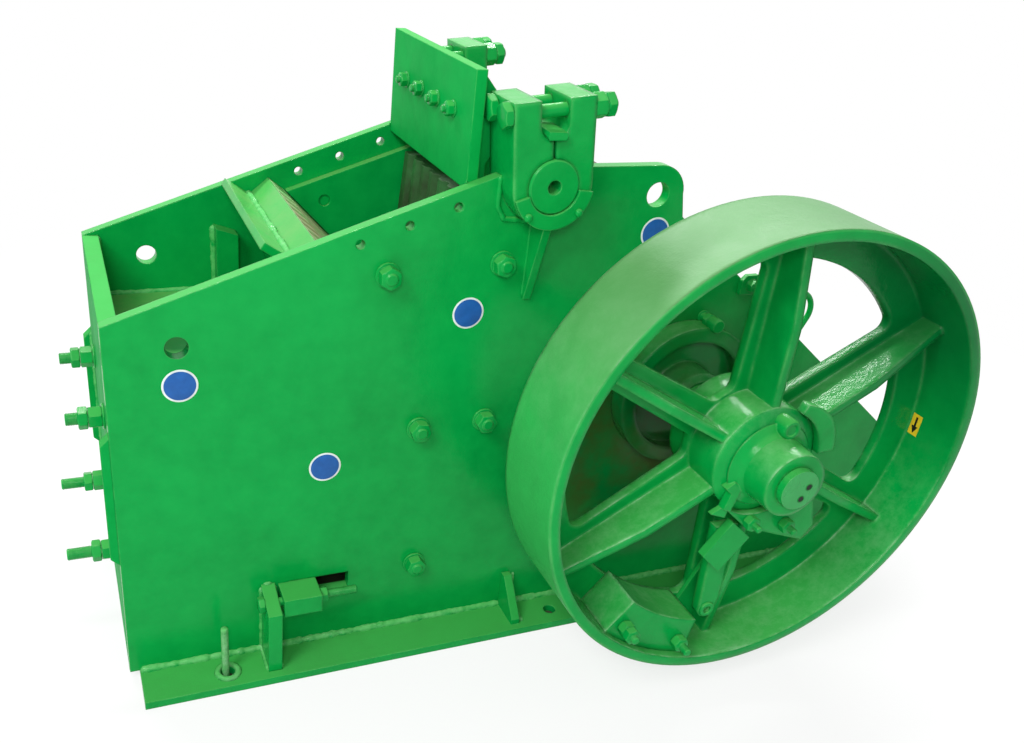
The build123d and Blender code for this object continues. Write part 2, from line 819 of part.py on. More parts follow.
flywheel_window = window_outline(spoke_root, spoke_tip, hub + window_land, window, window_corner)
with BuildPart() as flywheel:
    with BuildSketch(Plane.XY.offset(shaft_z)):
        with BuildLine():
            Polyline((shaft_at + shaft_end, -hub_end_front), (shaft_at + hub_end, -hub_end_front),
                     (shaft_at + hub_end + hub_end_flare, -hub_front),
                     (shaft_at + hub, -hub_front + hub_slope),
                     (shaft_at + hub, -web_front), (shaft_at + wheel - rim, -web_front),
                     (shaft_at + wheel - rim, -wheel_front), (shaft_at + wheel, -wheel_front),
                     (shaft_at + wheel, -wheel_back), (shaft_at + wheel - rim, -wheel_back),
                     (shaft_at + wheel - rim, -web_front + web), (shaft_at + hub, -web_front + web),
                     (shaft_at + hub, -wheel_back), (shaft_at + shaft, -wheel_back),
                     (shaft_at + shaft, -shaft_step), (shaft_at + shaft_end, -shaft_step), close=True)
        make_face()
    revolve(axis=shaft_axis)
    with BuildSketch(wheel_plane.offset(web_front - web)):
        with PolarLocations(0, spokes):
            add(flywheel_window)
    extrude(amount=web, mode=Mode.SUBTRACT)
    for spoke in range(spokes):
        with BuildSketch(spoke_plane((spoke + 0.5) * step_angle).offset(-spoke_rib / 2)):
            with BuildLine():
                Polyline((hub - rib_bite, -web_front), (wheel - rim + rib_bite, -web_front),
                         (wheel - rim + rib_bite, -web_front - spoke_rib_tip),
                         (spoke_rib_flat, -rib_front), (hub - rib_bite, -rib_front), close=True)
            make_face()
        extrude(amount=spoke_rib)
save(flywheel, "flywheel")

# Collar in front of the hub: a hooked lug and the lobe that clamps the counterweight's bar
with BuildPart() as hub_collar:
    with BuildSketch(wheel_plane.offset(rib_front)):
        with BuildLine():
            CenterArc((0, 0), hub, lug_start, lug_end - lug_start)
            Line(polar(hub, lug_end), polar(hub + collar, lug_end))
            Spline(polar(hub + collar, lug_end), polar(lug_tip, (lug_start + lug_end) / 2),
                   polar(lug_tip, lug_start))
            Line(polar(lug_tip, lug_start), polar(hub, lug_start))
        make_face()
        with BuildLine():
            Polyline(*clamp_lobe, close=True)
        make_face()
        Circle(hub + collar_fit, mode=Mode.SUBTRACT)
    extrude(amount=collar)
    with BuildSketch(wheel_plane.offset(rib_front)):
        with Locations(*hub_stud_spots):
            Circle(hub_stud)
    extrude(amount=collar, mode=Mode.SUBTRACT)
save(hub_collar, "hub_collar")

# Two studs with nuts on the collar's lobe
with BuildPart() as hub_studs:
    with BuildSketch(wheel_plane.offset(rib_front)):
        with Locations(*hub_stud_spots):
            Circle(hub_stud)
    extrude(amount=collar + hub_stud_reach)
    with BuildSketch(wheel_plane.offset(collar_front)):
        with Locations(*hub_stud_spots):
            RegularPolygon(hub_stud_flats / 2, 6, major_radius=False)
    extrude(amount=hub_stud_nut)
save(hub_studs, "hub_studs")

# Counterweight block on the web's outer ring, with its two studs
counter_front = web_front + counter_high
counter_tip = wheel - rim - counter_fit
counter_stud_spots = [polar(counter_stud_radius, angle) for angle in counter_stud_angles]
with BuildPart() as counterweight:
    with BuildSketch(wheel_plane.offset(web_front)):
        with BuildLine():
            for radius in (counter_root, counter_tip):
                CenterArc((0, 0), radius, counter_start, counter_end - counter_start)
            for angle in (counter_start, counter_end):
                Line(polar(counter_root, angle), polar(counter_tip, angle))
        make_face()
        with Locations(*counter_stud_spots):
            Circle(counter_stud, mode=Mode.SUBTRACT)
    extrude(amount=counter_high)
save(counterweight, "counterweight")

with BuildPart() as counterweight_studs:
    with BuildSketch(wheel_plane.offset(web_front)):
        with Locations(*counter_stud_spots):
            Circle(counter_stud)
    extrude(amount=counter_high + counter_stud_reach)
    with BuildSketch(wheel_plane.offset(counter_front)):
        with Locations(*counter_stud_spots):
            RegularPolygon(counter_stud_flats / 2, 6, major_radius=False)
    extrude(amount=counter_stud_nut)
save(counterweight_studs, "counterweight_studs")

# Flat bar that the collar's lobe meets, lying on the lower spoke's rib
with BuildPart() as counterweight_bar:
    with BuildSketch(wheel_plane.offset(rib_front)):
        with BuildLine():
            Polyline(*counter_bar, close=True)
        make_face()
    extrude(amount=bar_thick)
save(counterweight_bar, "counterweight_bar")

# Tapered arm on the side of the rib, ending in an eye
rib_side = -spoke_rib / 2
eye_x_wheel, eye_y_wheel = arm_eye
with BuildPart() as counterweight_arm:
    with BuildSketch(wheel_plane.offset(web_front + arm_back)):
        with BuildLine():
            Polyline((rib_side - arm_width, -arm_root), (rib_side, -arm_root),
                     (rib_side, eye_y_wheel + arm_eye_radius),
                     (eye_x_wheel + arm_eye_radius, eye_y_wheel),
                     (eye_x_wheel - arm_eye_radius, eye_y_wheel), close=True)
        make_face()
        with Locations(arm_eye):
            Circle(arm_eye_radius)
            Circle(arm_eye_hole, mode=Mode.SUBTRACT)
    extrude(amount=arm_thick)
save(counterweight_arm, "counterweight_arm")

# Thin plate that widens from the rib to the rim, beside the counterweight
with BuildPart() as counterweight_plate:
    with BuildSketch(wheel_plane.offset(web_front)):
        with BuildLine():
            Polyline((rib_side, -gore_root), (rib_side, -gore_tip), polar(gore_tip, gore_angle), close=True)
        make_face()
    extrude(amount=gore)
save(counterweight_plate, "counterweight_plate")

# Drive sheave on the far end of the shaft, with belt grooves turned in its rim
sheave_front = sheave_back + grooves * groove_pitch + 2 * sheave_land
sheave_inner = sheave - sheave_rim - groove_depth
sheave_mid = (sheave_back + sheave_front) / 2
sheave_opening = window_outline(spoke_root, spoke_tip, sheave_hub + window_land, sheave_window, window_corner)
with BuildPart() as drive_sheave:
    with BuildSketch(Plane.XY.offset(shaft_z)):
        with BuildLine():
            Polyline((shaft_at + shaft, sheave_back - sheave_hub_back),
                     (shaft_at + sheave_hub, sheave_back - sheave_hub_back),
                     (shaft_at + sheave_hub, sheave_mid - sheave_web / 2),
                     (shaft_at + sheave_inner, sheave_mid - sheave_web / 2),
                     (shaft_at + sheave_inner, sheave_back), (shaft_at + sheave, sheave_back),
                     (shaft_at + sheave, sheave_front), (shaft_at + sheave_inner, sheave_front),
                     (shaft_at + sheave_inner, sheave_mid + sheave_web / 2),
                     (shaft_at + sheave_hub, sheave_mid + sheave_web / 2),
                     (shaft_at + sheave_hub, sheave_hub_front), (shaft_at + shaft_end, sheave_hub_front),
                     (shaft_at + shaft_end, shaft_step), (shaft_at + shaft, shaft_step), close=True)
        make_face()
        for groove in range(grooves):
            middle = sheave_back + sheave_land + (groove + 0.5) * groove_pitch
            with BuildLine():
                Polyline((shaft_at + sheave, middle - groove_mouth / 2),
                         (shaft_at + sheave, middle + groove_mouth / 2),
                         (shaft_at + sheave - groove_depth, middle + groove_floor / 2),
                         (shaft_at + sheave - groove_depth, middle - groove_floor / 2), close=True)
            make_face(mode=Mode.SUBTRACT)
    revolve(axis=shaft_axis)
    with BuildSketch(wheel_plane.offset(-sheave_mid - sheave_web / 2)):
        with PolarLocations(0, spokes):
            add(sheave_opening)
    extrude(amount=sheave_web, mode=Mode.SUBTRACT)
save(drive_sheave, "drive_sheave")

# Long studs that hold the fixed jaw, with a washer and two nuts on the front wall
with BuildPart() as jaw_studs:
    for z, reach in stud_rows:
        spots = [(y, z) for y in (-stud_y, stud_y)]
        with BuildSketch(Plane.YZ.offset(front - reach)):
            with Locations(*spots):
                Circle(stud)
        extrude(amount=stud_end + reach)
        with BuildSketch(Plane.YZ.offset(front - washer_thick - 2 * nut)):
            with Locations(*spots):
                RegularPolygon(nut_flats / 2, 6, major_radius=False)
        extrude(amount=2 * nut)
        with BuildSketch(Plane.YZ.offset(front - washer_thick)):
            with Locations(*spots):
                Circle(washer)
        extrude(amount=washer_thick)
save(jaw_studs, "jaw_studs")

# Bolts through the side plates into the cheek plates
with BuildPart() as frame_bolts:
    with BuildSketch(Plane.XZ.offset(cheek_inner + frame_bolt_inset)):
        with Locations(*frame_bolt_spots[:4]):
            Circle(stud)
    extrude(amount=half - cheek_inner - frame_bolt_inset)
    with BuildSketch(Plane.XZ.offset(inner)):
        with Locations(frame_bolt_spots[4]):
            Circle(stud)
    extrude(amount=plate)
    with BuildSketch(Plane.XZ.offset(half)):
        with Locations(*frame_bolt_spots):
            Circle(washer)
    extrude(amount=washer_thick)
    with BuildSketch(Plane.XZ.offset(half + washer_thick)):
        with Locations(*frame_bolt_spots):
            RegularPolygon(nut_flats / 2, 6, major_radius=False)
    extrude(amount=nut)
save_pair(frame_bolts, "frame_bolts")

# Wedge adjusters: a bracket on the flange, a wedge block in the side plate's slot and a bolt between them
slot_middle = (slot_low + slot_high) / 2
bolt_y = half + wedge_reach / 2 + adjuster_lead
with BuildPart() as wedge_bracket:
    with BuildSketch(Plane.YZ.offset(front + bracket_x)):
        with BuildLine():
            Polyline((-half, flange), (-half - bracket_reach, flange),
                     (-half - bracket_reach, bracket_shoulder), (-half, bracket_top), close=True)
        make_face()
        with Locations((-bolt_y, slot_middle)):
            Circle(adjuster + bolt_clear, mode=Mode.SUBTRACT)
    extrude(amount=bracket)
save_pair(wedge_bracket, "wedge_bracket")

wedge_tail = slot_x + wedge_clear
with BuildPart() as wedge_block:
    with BuildSketch(Plane.XY.offset(slot_low + wedge_clear)):
        with Locations((front + wedge_x + wedge_length / 2, -half - wedge_reach / 2)):
            Rectangle(wedge_length, wedge_reach)
        with Locations((front + (wedge_tail + wedge_x + wedge_length) / 2, -half + wedge_inside / 2)):
            Rectangle(wedge_x + wedge_length - wedge_tail, wedge_inside)
    extrude(amount=slot_high - slot_low - 2 * wedge_clear)
    with BuildSketch(Plane.YZ.offset(front + wedge_x)):
        with Locations((-bolt_y, slot_middle)):
            Circle(adjuster)
    extrude(amount=wedge_length, mode=Mode.SUBTRACT)
save_pair(wedge_block, "wedge_block")

with BuildPart() as wedge_bolt:
    with BuildSketch(Plane.YZ.offset(front + bracket_x - adjuster_head)):
        with Locations((-bolt_y, slot_middle)):
            RegularPolygon(adjuster_flats / 2, 6, major_radius=False)
    extrude(amount=adjuster_head)
    with BuildSketch(Plane.YZ.offset(front + bracket_x)):
        with Locations((-bolt_y, slot_middle)):
            Circle(adjuster)
    extrude(amount=adjuster_end - bracket_x)
    with BuildSketch(Plane.YZ.offset(front + wedge_x + wedge_length)):
        with Locations((-bolt_y, slot_middle)):
            RegularPolygon(adjuster_flats / 2, 6, major_radius=False)
    extrude(amount=adjuster_nut)
save_pair(wedge_bolt, "wedge_bolt")

# Lifting eyes on the sloped cover: a rod bent to a bow whose two legs draw in to their feet
eye_base = slope_height(front + eye_x)
eye_y = inner - eye_inset
foot_turn = acos(eye_bow / hypot(eye_foot, eye_rise)) - atan2(eye_rise, eye_foot)
bow_end = (eye_bow * cos(foot_turn), eye_bow * sin(foot_turn))
with BuildPart() as lifting_eyes:
    for y in (-eye_y, eye_y):
        eye_plane = Plane(origin=(front + eye_x, y, eye_base + eye_rise), x_dir=(1, 0, 0), z_dir=(0, -1, 0))
        with BuildLine(eye_plane) as eye_path:
            Line((eye_foot, -eye_rise), bow_end)
            ThreePointArc(bow_end, (0, eye_bow), (-bow_end[0], bow_end[1]))
            Line((-bow_end[0], bow_end[1]), (-eye_foot, -eye_rise))
        with BuildSketch(Plane(origin=eye_path.line @ 0, z_dir=eye_path.line % 0)):
            Circle(eye_rod)
        sweep(path=eye_path.line)
    with BuildSketch(Plane.XZ.offset(-inner)):
        with BuildLine():
            Polyline((case_bend, case_top), (case_end, slope_height(case_end)), (case_end, 0),
                     (case_bend, 0), close=True)
        make_face()
    extrude(amount=2 * inner, mode=Mode.SUBTRACT)
save(lifting_eyes, "lifting_eyes")
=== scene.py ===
# %% [markdown]
# # A jaw crusher, dressed in Blender
# The solids of this machine come from a CAD source and are already in the right place and size. This
# lesson gives them what a CAD model leaves out: thick glossy paint, cast and machined metal, weld beads,
# chamfered nuts with real threads, stickers, a studio floor and a camera. Each step first says what the
# thing is on the real machine, then how it is made here and why.

# %% Load the frame
import math
import bpy
import bmesh
from mathutils import Matrix, Vector, noise


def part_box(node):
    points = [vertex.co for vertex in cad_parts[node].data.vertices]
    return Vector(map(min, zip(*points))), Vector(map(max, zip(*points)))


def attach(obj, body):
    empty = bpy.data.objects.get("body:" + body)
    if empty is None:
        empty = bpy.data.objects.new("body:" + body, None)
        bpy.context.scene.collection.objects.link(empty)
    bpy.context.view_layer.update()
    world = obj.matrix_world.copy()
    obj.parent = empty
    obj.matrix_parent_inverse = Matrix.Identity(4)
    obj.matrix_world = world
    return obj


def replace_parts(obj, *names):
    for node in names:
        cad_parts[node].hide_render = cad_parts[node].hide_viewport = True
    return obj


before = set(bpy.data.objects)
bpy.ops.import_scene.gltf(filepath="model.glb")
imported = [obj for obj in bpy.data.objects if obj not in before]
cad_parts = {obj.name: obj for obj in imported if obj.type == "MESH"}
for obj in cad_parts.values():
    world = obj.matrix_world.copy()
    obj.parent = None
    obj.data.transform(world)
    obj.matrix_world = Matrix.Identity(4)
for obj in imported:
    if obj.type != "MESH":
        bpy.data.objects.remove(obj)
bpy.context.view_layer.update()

# %% [markdown]
# ## Sizes used all through
# The part's own frame has its origin under the middle of the machine, +X towards the crankcase, -Y
# towards the flywheel and +Z up. Every point below is written in millimetres in that frame, as a fitter
# would measure it, and turned into metres only where a piece or a finish is made. The main places are
# read from the boxes of the CAD nodes, so that they aren't typed twice.

# %% Sizes
MM = 0.001


def box(node):
    """A node's lowest and highest corners in millimetres."""
    low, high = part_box(node)
    return Vector(low) / MM, Vector(high) / MM


def middle(node):
    """The middle of a node's box in millimetres."""
    low, high = box(node)
    return (low + high) / 2


plate_low, plate_high = box("side_plate_near")
FRONT, REAR = plate_low.x, plate_high.x
HALF, INNER = -plate_low.y, -plate_high.y
FLANGE = plate_low.z
LEVEL_HEIGHT = plate_high.z
FRONT_HEIGHT = box("front_wall")[1].z
LEVEL_REACH = 904.0
TOP_SLOPE = (LEVEL_HEIGHT - FRONT_HEIGHT) / LEVEL_REACH
SHAFT = middle("flywheel")
SHAFT.y = 0.0
PIN = middle("hinge_pin")
ANCHOR_X, ANCHOR_Y = 897.0, 362.0


def edge_height(x):
    """Height of the side plates' sloped top edge at x."""
    return FRONT_HEIGHT + TOP_SLOPE * (x - FRONT)


print("side plates rise from", round(FRONT_HEIGHT), "to", round(LEVEL_HEIGHT), "mm")

# %% [markdown]
# ## Sums with shader sockets
# A finish is a small graph of nodes. Wiring it line by line hides the idea, so a socket is wrapped in a
# class that knows how to add, subtract and multiply: an expression then builds its own Math nodes. Any
# other node comes from one method that takes its type, its settings and its socket values.

# %% Signals and graphs
class Signal:
    """A shader socket that can stand in an expression, such as 1 - mask * 0.5."""

    def __init__(self, graph, socket):
        self.graph = graph
        self.socket = socket

    def maths(self, operation, first, second, clamp=False):
        settings = {"operation": operation, "use_clamp": clamp}
        return self.graph.node("ShaderNodeMath", settings, {0: first, 1: second})

    def __add__(self, other):
        return self.maths("ADD", self, other)

    def __radd__(self, other):
        return self.maths("ADD", other, self)

    def __sub__(self, other):
        return self.maths("SUBTRACT", self, other)

    def __rsub__(self, other):
        return self.maths("SUBTRACT", other, self)

    def __mul__(self, other):
        return self.maths("MULTIPLY", self, other)

    def __rmul__(self, other):
        return self.maths("MULTIPLY", other, self)

    def clamped(self):
        return self.maths("ADD", self, 0.0, clamp=True)

    def absolute(self):
        return self.graph.node("ShaderNodeMath", {"operation": "ABSOLUTE"}, {0: self})


class Graph:
    """One material, or another owner of nodes, and the nodes behind it."""

    def __init__(self, name, owner=None):
        self.material = owner or bpy.data.materials.new(name)
        self.material.use_nodes = True
        self.tree = self.material.node_tree
        self.tree.nodes.clear()

    def node(self, kind, settings=None, sockets=None, out=0):
        made = self.tree.nodes.new(kind)
        for key, value in (settings or {}).items():
            setattr(made, key, value)
        for key, value in (sockets or {}).items():
            if isinstance(value, Signal):
                self.tree.links.new(value.socket, made.inputs[key])
            else:
                made.inputs[key].default_value = value
        return Signal(self, made.outputs[out])

    def place(self):
        """Where a point of the surface is, in metres, fixed to the piece."""
        return self.node("ShaderNodeTexCoord", out="Object")

    def along(self, axis):
        """One of the three coordinates of that point, by its letter."""
        return self.node("ShaderNodeSeparateXYZ", {}, {"Vector": self.place()}, out=axis)

    def vector(self, operation, first, second, out=0):
        """Sums with directions; a dot product or a distance comes out of the socket named Value."""
        return self.node("ShaderNodeVectorMath", {"operation": operation}, {0: first, 1: second}, out)

    def spread(self, value, low, high, new_low=0.0, new_high=1.0):
        """Stretches a range of values onto another and cuts off what lies outside."""
        sockets = {"Value": value, 1: low, 2: high, 3: new_low, 4: new_high}
        return self.node("ShaderNodeMapRange", {"clamp": True}, sockets)

    def noise(self, scale, detail=2.0, roughness=0.5, stretch=None):
        """Soft random values about 1/scale metres across; stretch squeezes them along each axis."""
        spot = self.vector("MULTIPLY", self.place(), stretch) if stretch else self.place()
        sockets = {"Vector": spot, "Scale": scale, "Detail": detail, "Roughness": roughness}
        return self.node("ShaderNodeTexNoise", {}, sockets)

    def patches(self, scale, low, high, detail=2.0, roughness=0.5, stretch=None):
        """A noise as a mask: 0 where it is below low, 1 where it is above high."""
        return self.spread(self.noise(scale, detail, roughness, stretch), low, high)

    def near(self, point, full, none):
        """A mask that is 1 within one distance of a point in millimetres and 0 beyond another."""
        away = self.vector("DISTANCE", self.place(), tuple(v * MM for v in point), "Value")
        return self.spread(away, full * MM, none * MM, 1.0, 0.0)

    def bump(self, strength, depth, height, normal=None):
        """A normal that follows a height, on top of another normal where one is given."""
        sockets = {"Strength": strength, "Distance": depth, "Height": height}
        if normal:
            sockets["Normal"] = normal
        return self.node("ShaderNodeBump", {}, sockets)

    def blend(self, mask, first, second):
        """A colour that is first where the mask is 0 and second where it is 1."""
        return self.node("ShaderNodeMix", {"data_type": "RGBA"}, {0: mask, 6: first, 7: second}, out=2)

    def finish(self, shader, kind="ShaderNodeOutputMaterial"):
        """Ends the graph in a shader and returns what owns it."""
        ending = self.tree.nodes.new(kind)
        self.tree.links.new(shader.socket, ending.inputs["Surface"])
        return self.material

    def surface(self, constants, varying):
        """Ends the graph in a Principled shader and returns the material."""
        return self.finish(self.node("ShaderNodeBsdfPrincipled", {}, {**constants, **varying}))


print("shader helpers ready")

# %% [markdown]
# ## Rounded edges without touching the mesh
# Flame-cut plate is never razor sharp: its edges are dressed with a grinder, and paint runs thin over
# them, so they catch the light as pale lines. The meshes of the CAD nodes may not be changed, so the
# rounding is done in the shader: the Bevel node bends the normal near an edge, and the angle between
# that normal and the true one is a mask for the edge itself.

# %% Edge helper
def edges_of(graph, radius, gain=3.0):
    """The rounded normal, and a mask that is 1 along edges."""
    rounded = graph.node("ShaderNodeBevel", {"samples": 6}, {"Radius": radius})
    true = graph.node("ShaderNodeNewGeometry", out="Normal")
    across = graph.vector("DOT_PRODUCT", rounded, true, "Value")
    return rounded, ((1 - across) * gain).clamped()


def facing_up(graph, low=0.35, high=0.95):
    """A mask that is 1 on faces that look up and 0 on walls."""
    normal = graph.node("ShaderNodeNewGeometry", out="Normal")
    return graph.spread(graph.vector("DOT_PRODUCT", normal, (0, 0, 1), "Value"), low, high)


def rgb(red, green, blue):
    """A colour as it looks on screen, from 0 to 255, as the linear values that shaders use."""
    def linear(value):
        share = value / 255
        return share / 12.92 if share <= 0.04045 else ((share + 0.055) / 1.055) ** 2.4
    return (linear(red), linear(green), linear(blue), 1.0)


print("edge and colour helpers ready")

# %% [markdown]
# ## The green paint
# The whole machine is brushed and sprayed with a thick glossy green. Seen close it isn't one colour: it
# carries a painted highlight along edges and welds, partly paint that is worn there, and a painted sheen
# where a face looks up, partly paint that has faded; it is darker in broad patches, and painted shade
# darkens the deep walls of the chamber. Its surface has the slow waves of paint laid over rolled plate
# plus a fine orange peel. Noises of very different scale give the patches and the peel, and the edge
# mask adds the pale rims of painted highlight. The coat on castings is wavier, and painted highlights
# fleck the edges that look up on it almost white. A dusty variant lets pale rock dust settle on faces
# that look up, with a stronger painted sheen there, and a patch of painted shade on the shelf; a matt
# one is for the feed end, where spilt rock has dulled the paint; and a grimy one is stained brown within
# reach of the shaft, where oil is thrown, with painted shade there and in the bore of the near lift
# hole. On the wheel the outside has gone chalky where it looks up and carries a pale painted sheen, and
# painted shade darkens one stretch of the rim's inside. Each stain and each patch of painted shade is a
# mask about a place in the part's own frame, so it stays with the metal when the wheel turns.

# %% Green paint
DEEP, MIDDLE, FRESH = rgb(0, 132, 54), rgb(2, 150, 64), rgb(18, 168, 74)
# The first pale green below is a painted sheen on faces that look up, partly fading; the second is a
# painted highlight for edges, welds and the wheel's outside, partly worn paint.
FADE_AND_SHEEN, HIGHLIGHT_AND_WEAR = rgb(86, 178, 86), rgb(112, 200, 116)
# The last colour below is painted shade; dust and grime are the thing's own colours.
DUST, GRIME, SHADE = rgb(120, 164, 94), rgb(64, 70, 26), rgb(0, 76, 36)
# The second colour below paints highlights flecked along edges that look up.
CHALKY, GLINT = rgb(84, 132, 80), rgb(190, 232, 192)
# Bounds of the chamber, whose deep walls are painted darker as shade.
WALL_FACE, BOX_END, CHAMBER_START, CHAMBER_END = FRONT + 37.0, FRONT + 230.0, FRONT + 430.0, -30.0
CHAMBER_LOW, CHAMBER_HIGH = 450.0, 900.0
# The near lift hole, whose bore is painted dark as shade.
LIFT_HOLE = Vector((-974.0, -(HALF + INNER) / 2, 892.0))
# A spot on the shelf that is painted dark as shade.
SHELF_SHADE_SPOT = Vector((-945.0, -20.0, box("front_shelf")[1].z))
# Within reach of this spot the paint is stained with oil and also painted darker as shade.
OIL_AND_SHADE_SPOT = SHAFT + Vector((-90, -HALF, -130))
# A stretch of the rim's inside that is painted darker as shade.
RIM_SHADE_SPOT = SHAFT + Vector((430, -600, 360))
RIM_RADIUS = box("flywheel")[1].x - SHAFT.x


def chamber_shade(graph):
    """A mask of painted shade for the walls of the chamber, and faintly the front box, growing with the
    depth.
    """
    x = graph.along("X")
    within = graph.spread(graph.along("Y").absolute(), (INNER + 1) * MM, (INNER + 6) * MM, 1.0, 0.0)
    within = within * graph.spread(x, WALL_FACE * MM, (WALL_FACE + 1) * MM)
    within = within * graph.spread(x, BOX_END * MM, CHAMBER_START * MM, 0.2, 1.0)
    within = within * graph.spread(x, CHAMBER_END * MM, (CHAMBER_END + 10) * MM, 1.0, 0.0)
    deep = graph.spread(graph.along("Z"), CHAMBER_LOW * MM, CHAMBER_HIGH * MM, 1.0, 0.0)
    return within * deep * (1 - facing_up(graph))


def paint_layers(graph, edge, dust_shade_and_sheen=0.0, grime_and_shade=0.0, glint=0.0):
    """The colour of the paint, with painted sheen, highlights and shade; glint paints highlights on edges
    that look up.
    """
    # patches where the edges carry a painted highlight, partly worn paint
    wear_and_highlight_patches = graph.patches(6.0, 0.42, 0.62, 5.0, 0.7)
    broad = graph.patches(2.3, 0.3, 0.7, 3.0, 0.55)
    brushed = graph.patches(17.0, 0.3, 0.7, 4.0, 0.6)
    body = graph.blend(broad, DEEP, MIDDLE)
    body = graph.blend(brushed * 0.35, body, FRESH)
    # painted sheen on faces that look up, partly fading, stronger on dusty paint
    body = graph.blend(facing_up(graph) * (0.8 if dust_shade_and_sheen else 0.5), body, FADE_AND_SHEEN)
    # painted shade deep in the chamber
    body = graph.blend(chamber_shade(graph) * 0.75, body, SHADE)
    # painted highlight along edges, partly worn paint
    body = graph.blend(edge * wear_and_highlight_patches * 0.5, body, HIGHLIGHT_AND_WEAR)
    if glint:
        # painted highlights flecked along edges that look up
        glint_flecks = graph.patches(16.0, 0.42, 0.66, 5.0, 0.75) * facing_up(graph, 0.0, 0.6)
        body = graph.blend(glint_flecks * (edge * 0.75 + 0.12) * glint, body, GLINT)
    if dust_shade_and_sheen:
        settled = graph.patches(9.0, 0.36, 0.66, 5.0, 0.65)
        body = graph.blend(settled * facing_up(graph) * dust_shade_and_sheen, body, DUST)
        # a patch of painted shade on the shelf
        body = graph.blend(graph.near(SHELF_SHADE_SPOT, 70.0, 115.0) * 0.85, body, SHADE)
    if grime_and_shade:
        # painted shade in the bore of the lift hole
        body = graph.blend(graph.near(LIFT_HOLE, 28.5, 30.5) * 0.85, body, SHADE)
        stained = graph.patches(5.0, 0.38, 0.6, 5.0, 0.6)
        # painted shade within reach of the shaft, then real oil stains over it
        reach = graph.near(OIL_AND_SHADE_SPOT, 190.0, 400.0)
        body = graph.blend(reach * 0.55, body, SHADE)
        body = graph.blend(reach * stained * grime_and_shade, body, GRIME)
    return body


def green_paint(name, dust_shade_and_sheen=0.0, grime_and_shade=0.0, pale=0.0, cast=False, rim=False, shine=0.14):
    """Paint on plate, or the wavier, shinier coat on castings; pale adds painted highlights, rim the
    wheel's chalk, painted sheen and painted shade.
    """
    graph = Graph(name)
    peel, edge_radius, strength = (1.6, 0.016, 0.32) if cast else (1.0, 0.005, 0.28)
    rounded, edge = edges_of(graph, edge_radius)
    body = paint_layers(graph, edge, dust_shade_and_sheen, grime_and_shade, 0.8 if cast else 0.0)
    peel_height = graph.noise(210.0, 2.0) * 0.35 * peel + graph.noise(34.0, 2.0) * peel
    bump = graph.bump(strength, 0.002, peel_height, rounded)
    smoothest = (0.11 if cast else 0.17) if shine > 0.1 else 0.5
    roughness = graph.spread(graph.noise(11.0, 3.0), 0.3, 0.7, smoothest, smoothest + 0.1)
    if pale:
        # painted highlights in patches, used on welds
        body = graph.blend(graph.patches(60.0, 0.3, 0.6, 3.0) * pale, body, HIGHLIGHT_AND_WEAR)
    if rim:
        square_on = graph.vector("MULTIPLY", graph.place(), (1, 0, 1))
        radius = graph.vector("DISTANCE", square_on, (SHAFT.x * MM, 0, SHAFT.z * MM), "Value")
        outside = graph.spread(radius, (RIM_RADIUS - 6.5) * MM, (RIM_RADIUS - 1.5) * MM)
        # a pale painted sheen on the wheel's outside
        body = graph.blend(outside * 0.16, body, HIGHLIGHT_AND_WEAR)
        body = graph.blend(outside * facing_up(graph, 0.2, 0.8) * 0.85, body, CHALKY)
        # painted shade on one stretch of the rim's inside
        rim_shade = graph.near(RIM_SHADE_SPOT, 150.0, 560.0) * (1 - outside)
        body = graph.blend(rim_shade * 0.7, body, SHADE)
        roughness = roughness + outside * 0.24
    return graph.surface({"IOR": 1.5, "Specular IOR Level": shine},
                         {"Base Color": body, "Roughness": roughness, "Normal": bump})


paint = green_paint("green_paint")
dusty_shaded_paint = green_paint("dusty_and_shaded_green_paint", dust_shade_and_sheen=0.5)
matt_paint = green_paint("matt_green_paint", shine=0.05)
grimy_shaded_paint = green_paint("grimy_and_shaded_green_paint", grime_and_shade=0.85)
cast_paint = green_paint("green_paint_on_castings", cast=True)
grimy_shaded_cast = green_paint("grimy_and_shaded_green_paint_on_castings", grime_and_shade=0.6, cast=True)
wheel_paint = green_paint("green_paint_on_the_wheel", cast=True, rim=True)
weld_paint = green_paint("green_paint_on_welds", pale=0.5, cast=True)
paints = (paint, dusty_shaded_paint, matt_paint, grimy_shaded_paint, cast_paint, grimy_shaded_cast, wheel_paint, weld_paint)
print("paints:", ", ".join(made.name for made in paints))

# %% [markdown]
# ## Bare metal
# A few things are not painted all over. The fixed jaw's die is cast iron that rock has worn: olive and
# tan, streaked down its face, with scraps of the green left on its crest. The moving die sits in the
# dark of the chamber; grime has taken most of its green, and its colour is painted darker still as
# shade. The grooved drive sheave is grey iron, dull and stained with old oil. The shaft is turned steel
# inside and on the far side, but its near end was painted together with the flywheel, so one material
# changes from metal to paint at the plate.

# %% Die, sheave and shaft finishes
def worn_die():
    graph = Graph("worn_cast_die")
    rounded, edge = edges_of(graph, 0.005)
    patches = graph.patches(9.0, 0.35, 0.65, 6.0, 0.65)
    streaks = graph.patches(1.0, 0.38, 0.66, 4.0, 0.6, stretch=(5.0, 52.0, 3.0))
    scraps = graph.patches(4.5, 0.45, 0.56, 5.0, 0.6, stretch=(1.0, 0.45, 1.0))
    body = graph.blend(patches, rgb(108, 116, 78), rgb(158, 164, 120))
    body = graph.blend(streaks * 0.75, body, rgb(184, 156, 126))
    body = graph.blend(scraps * 0.7, body, rgb(100, 186, 100))
    body = graph.blend(edge * 0.5, body, rgb(172, 190, 140))
    bump = graph.bump(0.5, 0.002, graph.noise(80.0, 6.0, 0.7) + streaks * 0.4, rounded)
    return graph.surface({"IOR": 1.5}, {"Base Color": body, "Metallic": patches * 0.25,
                                        "Roughness": 0.62 - patches * 0.2, "Normal": bump})


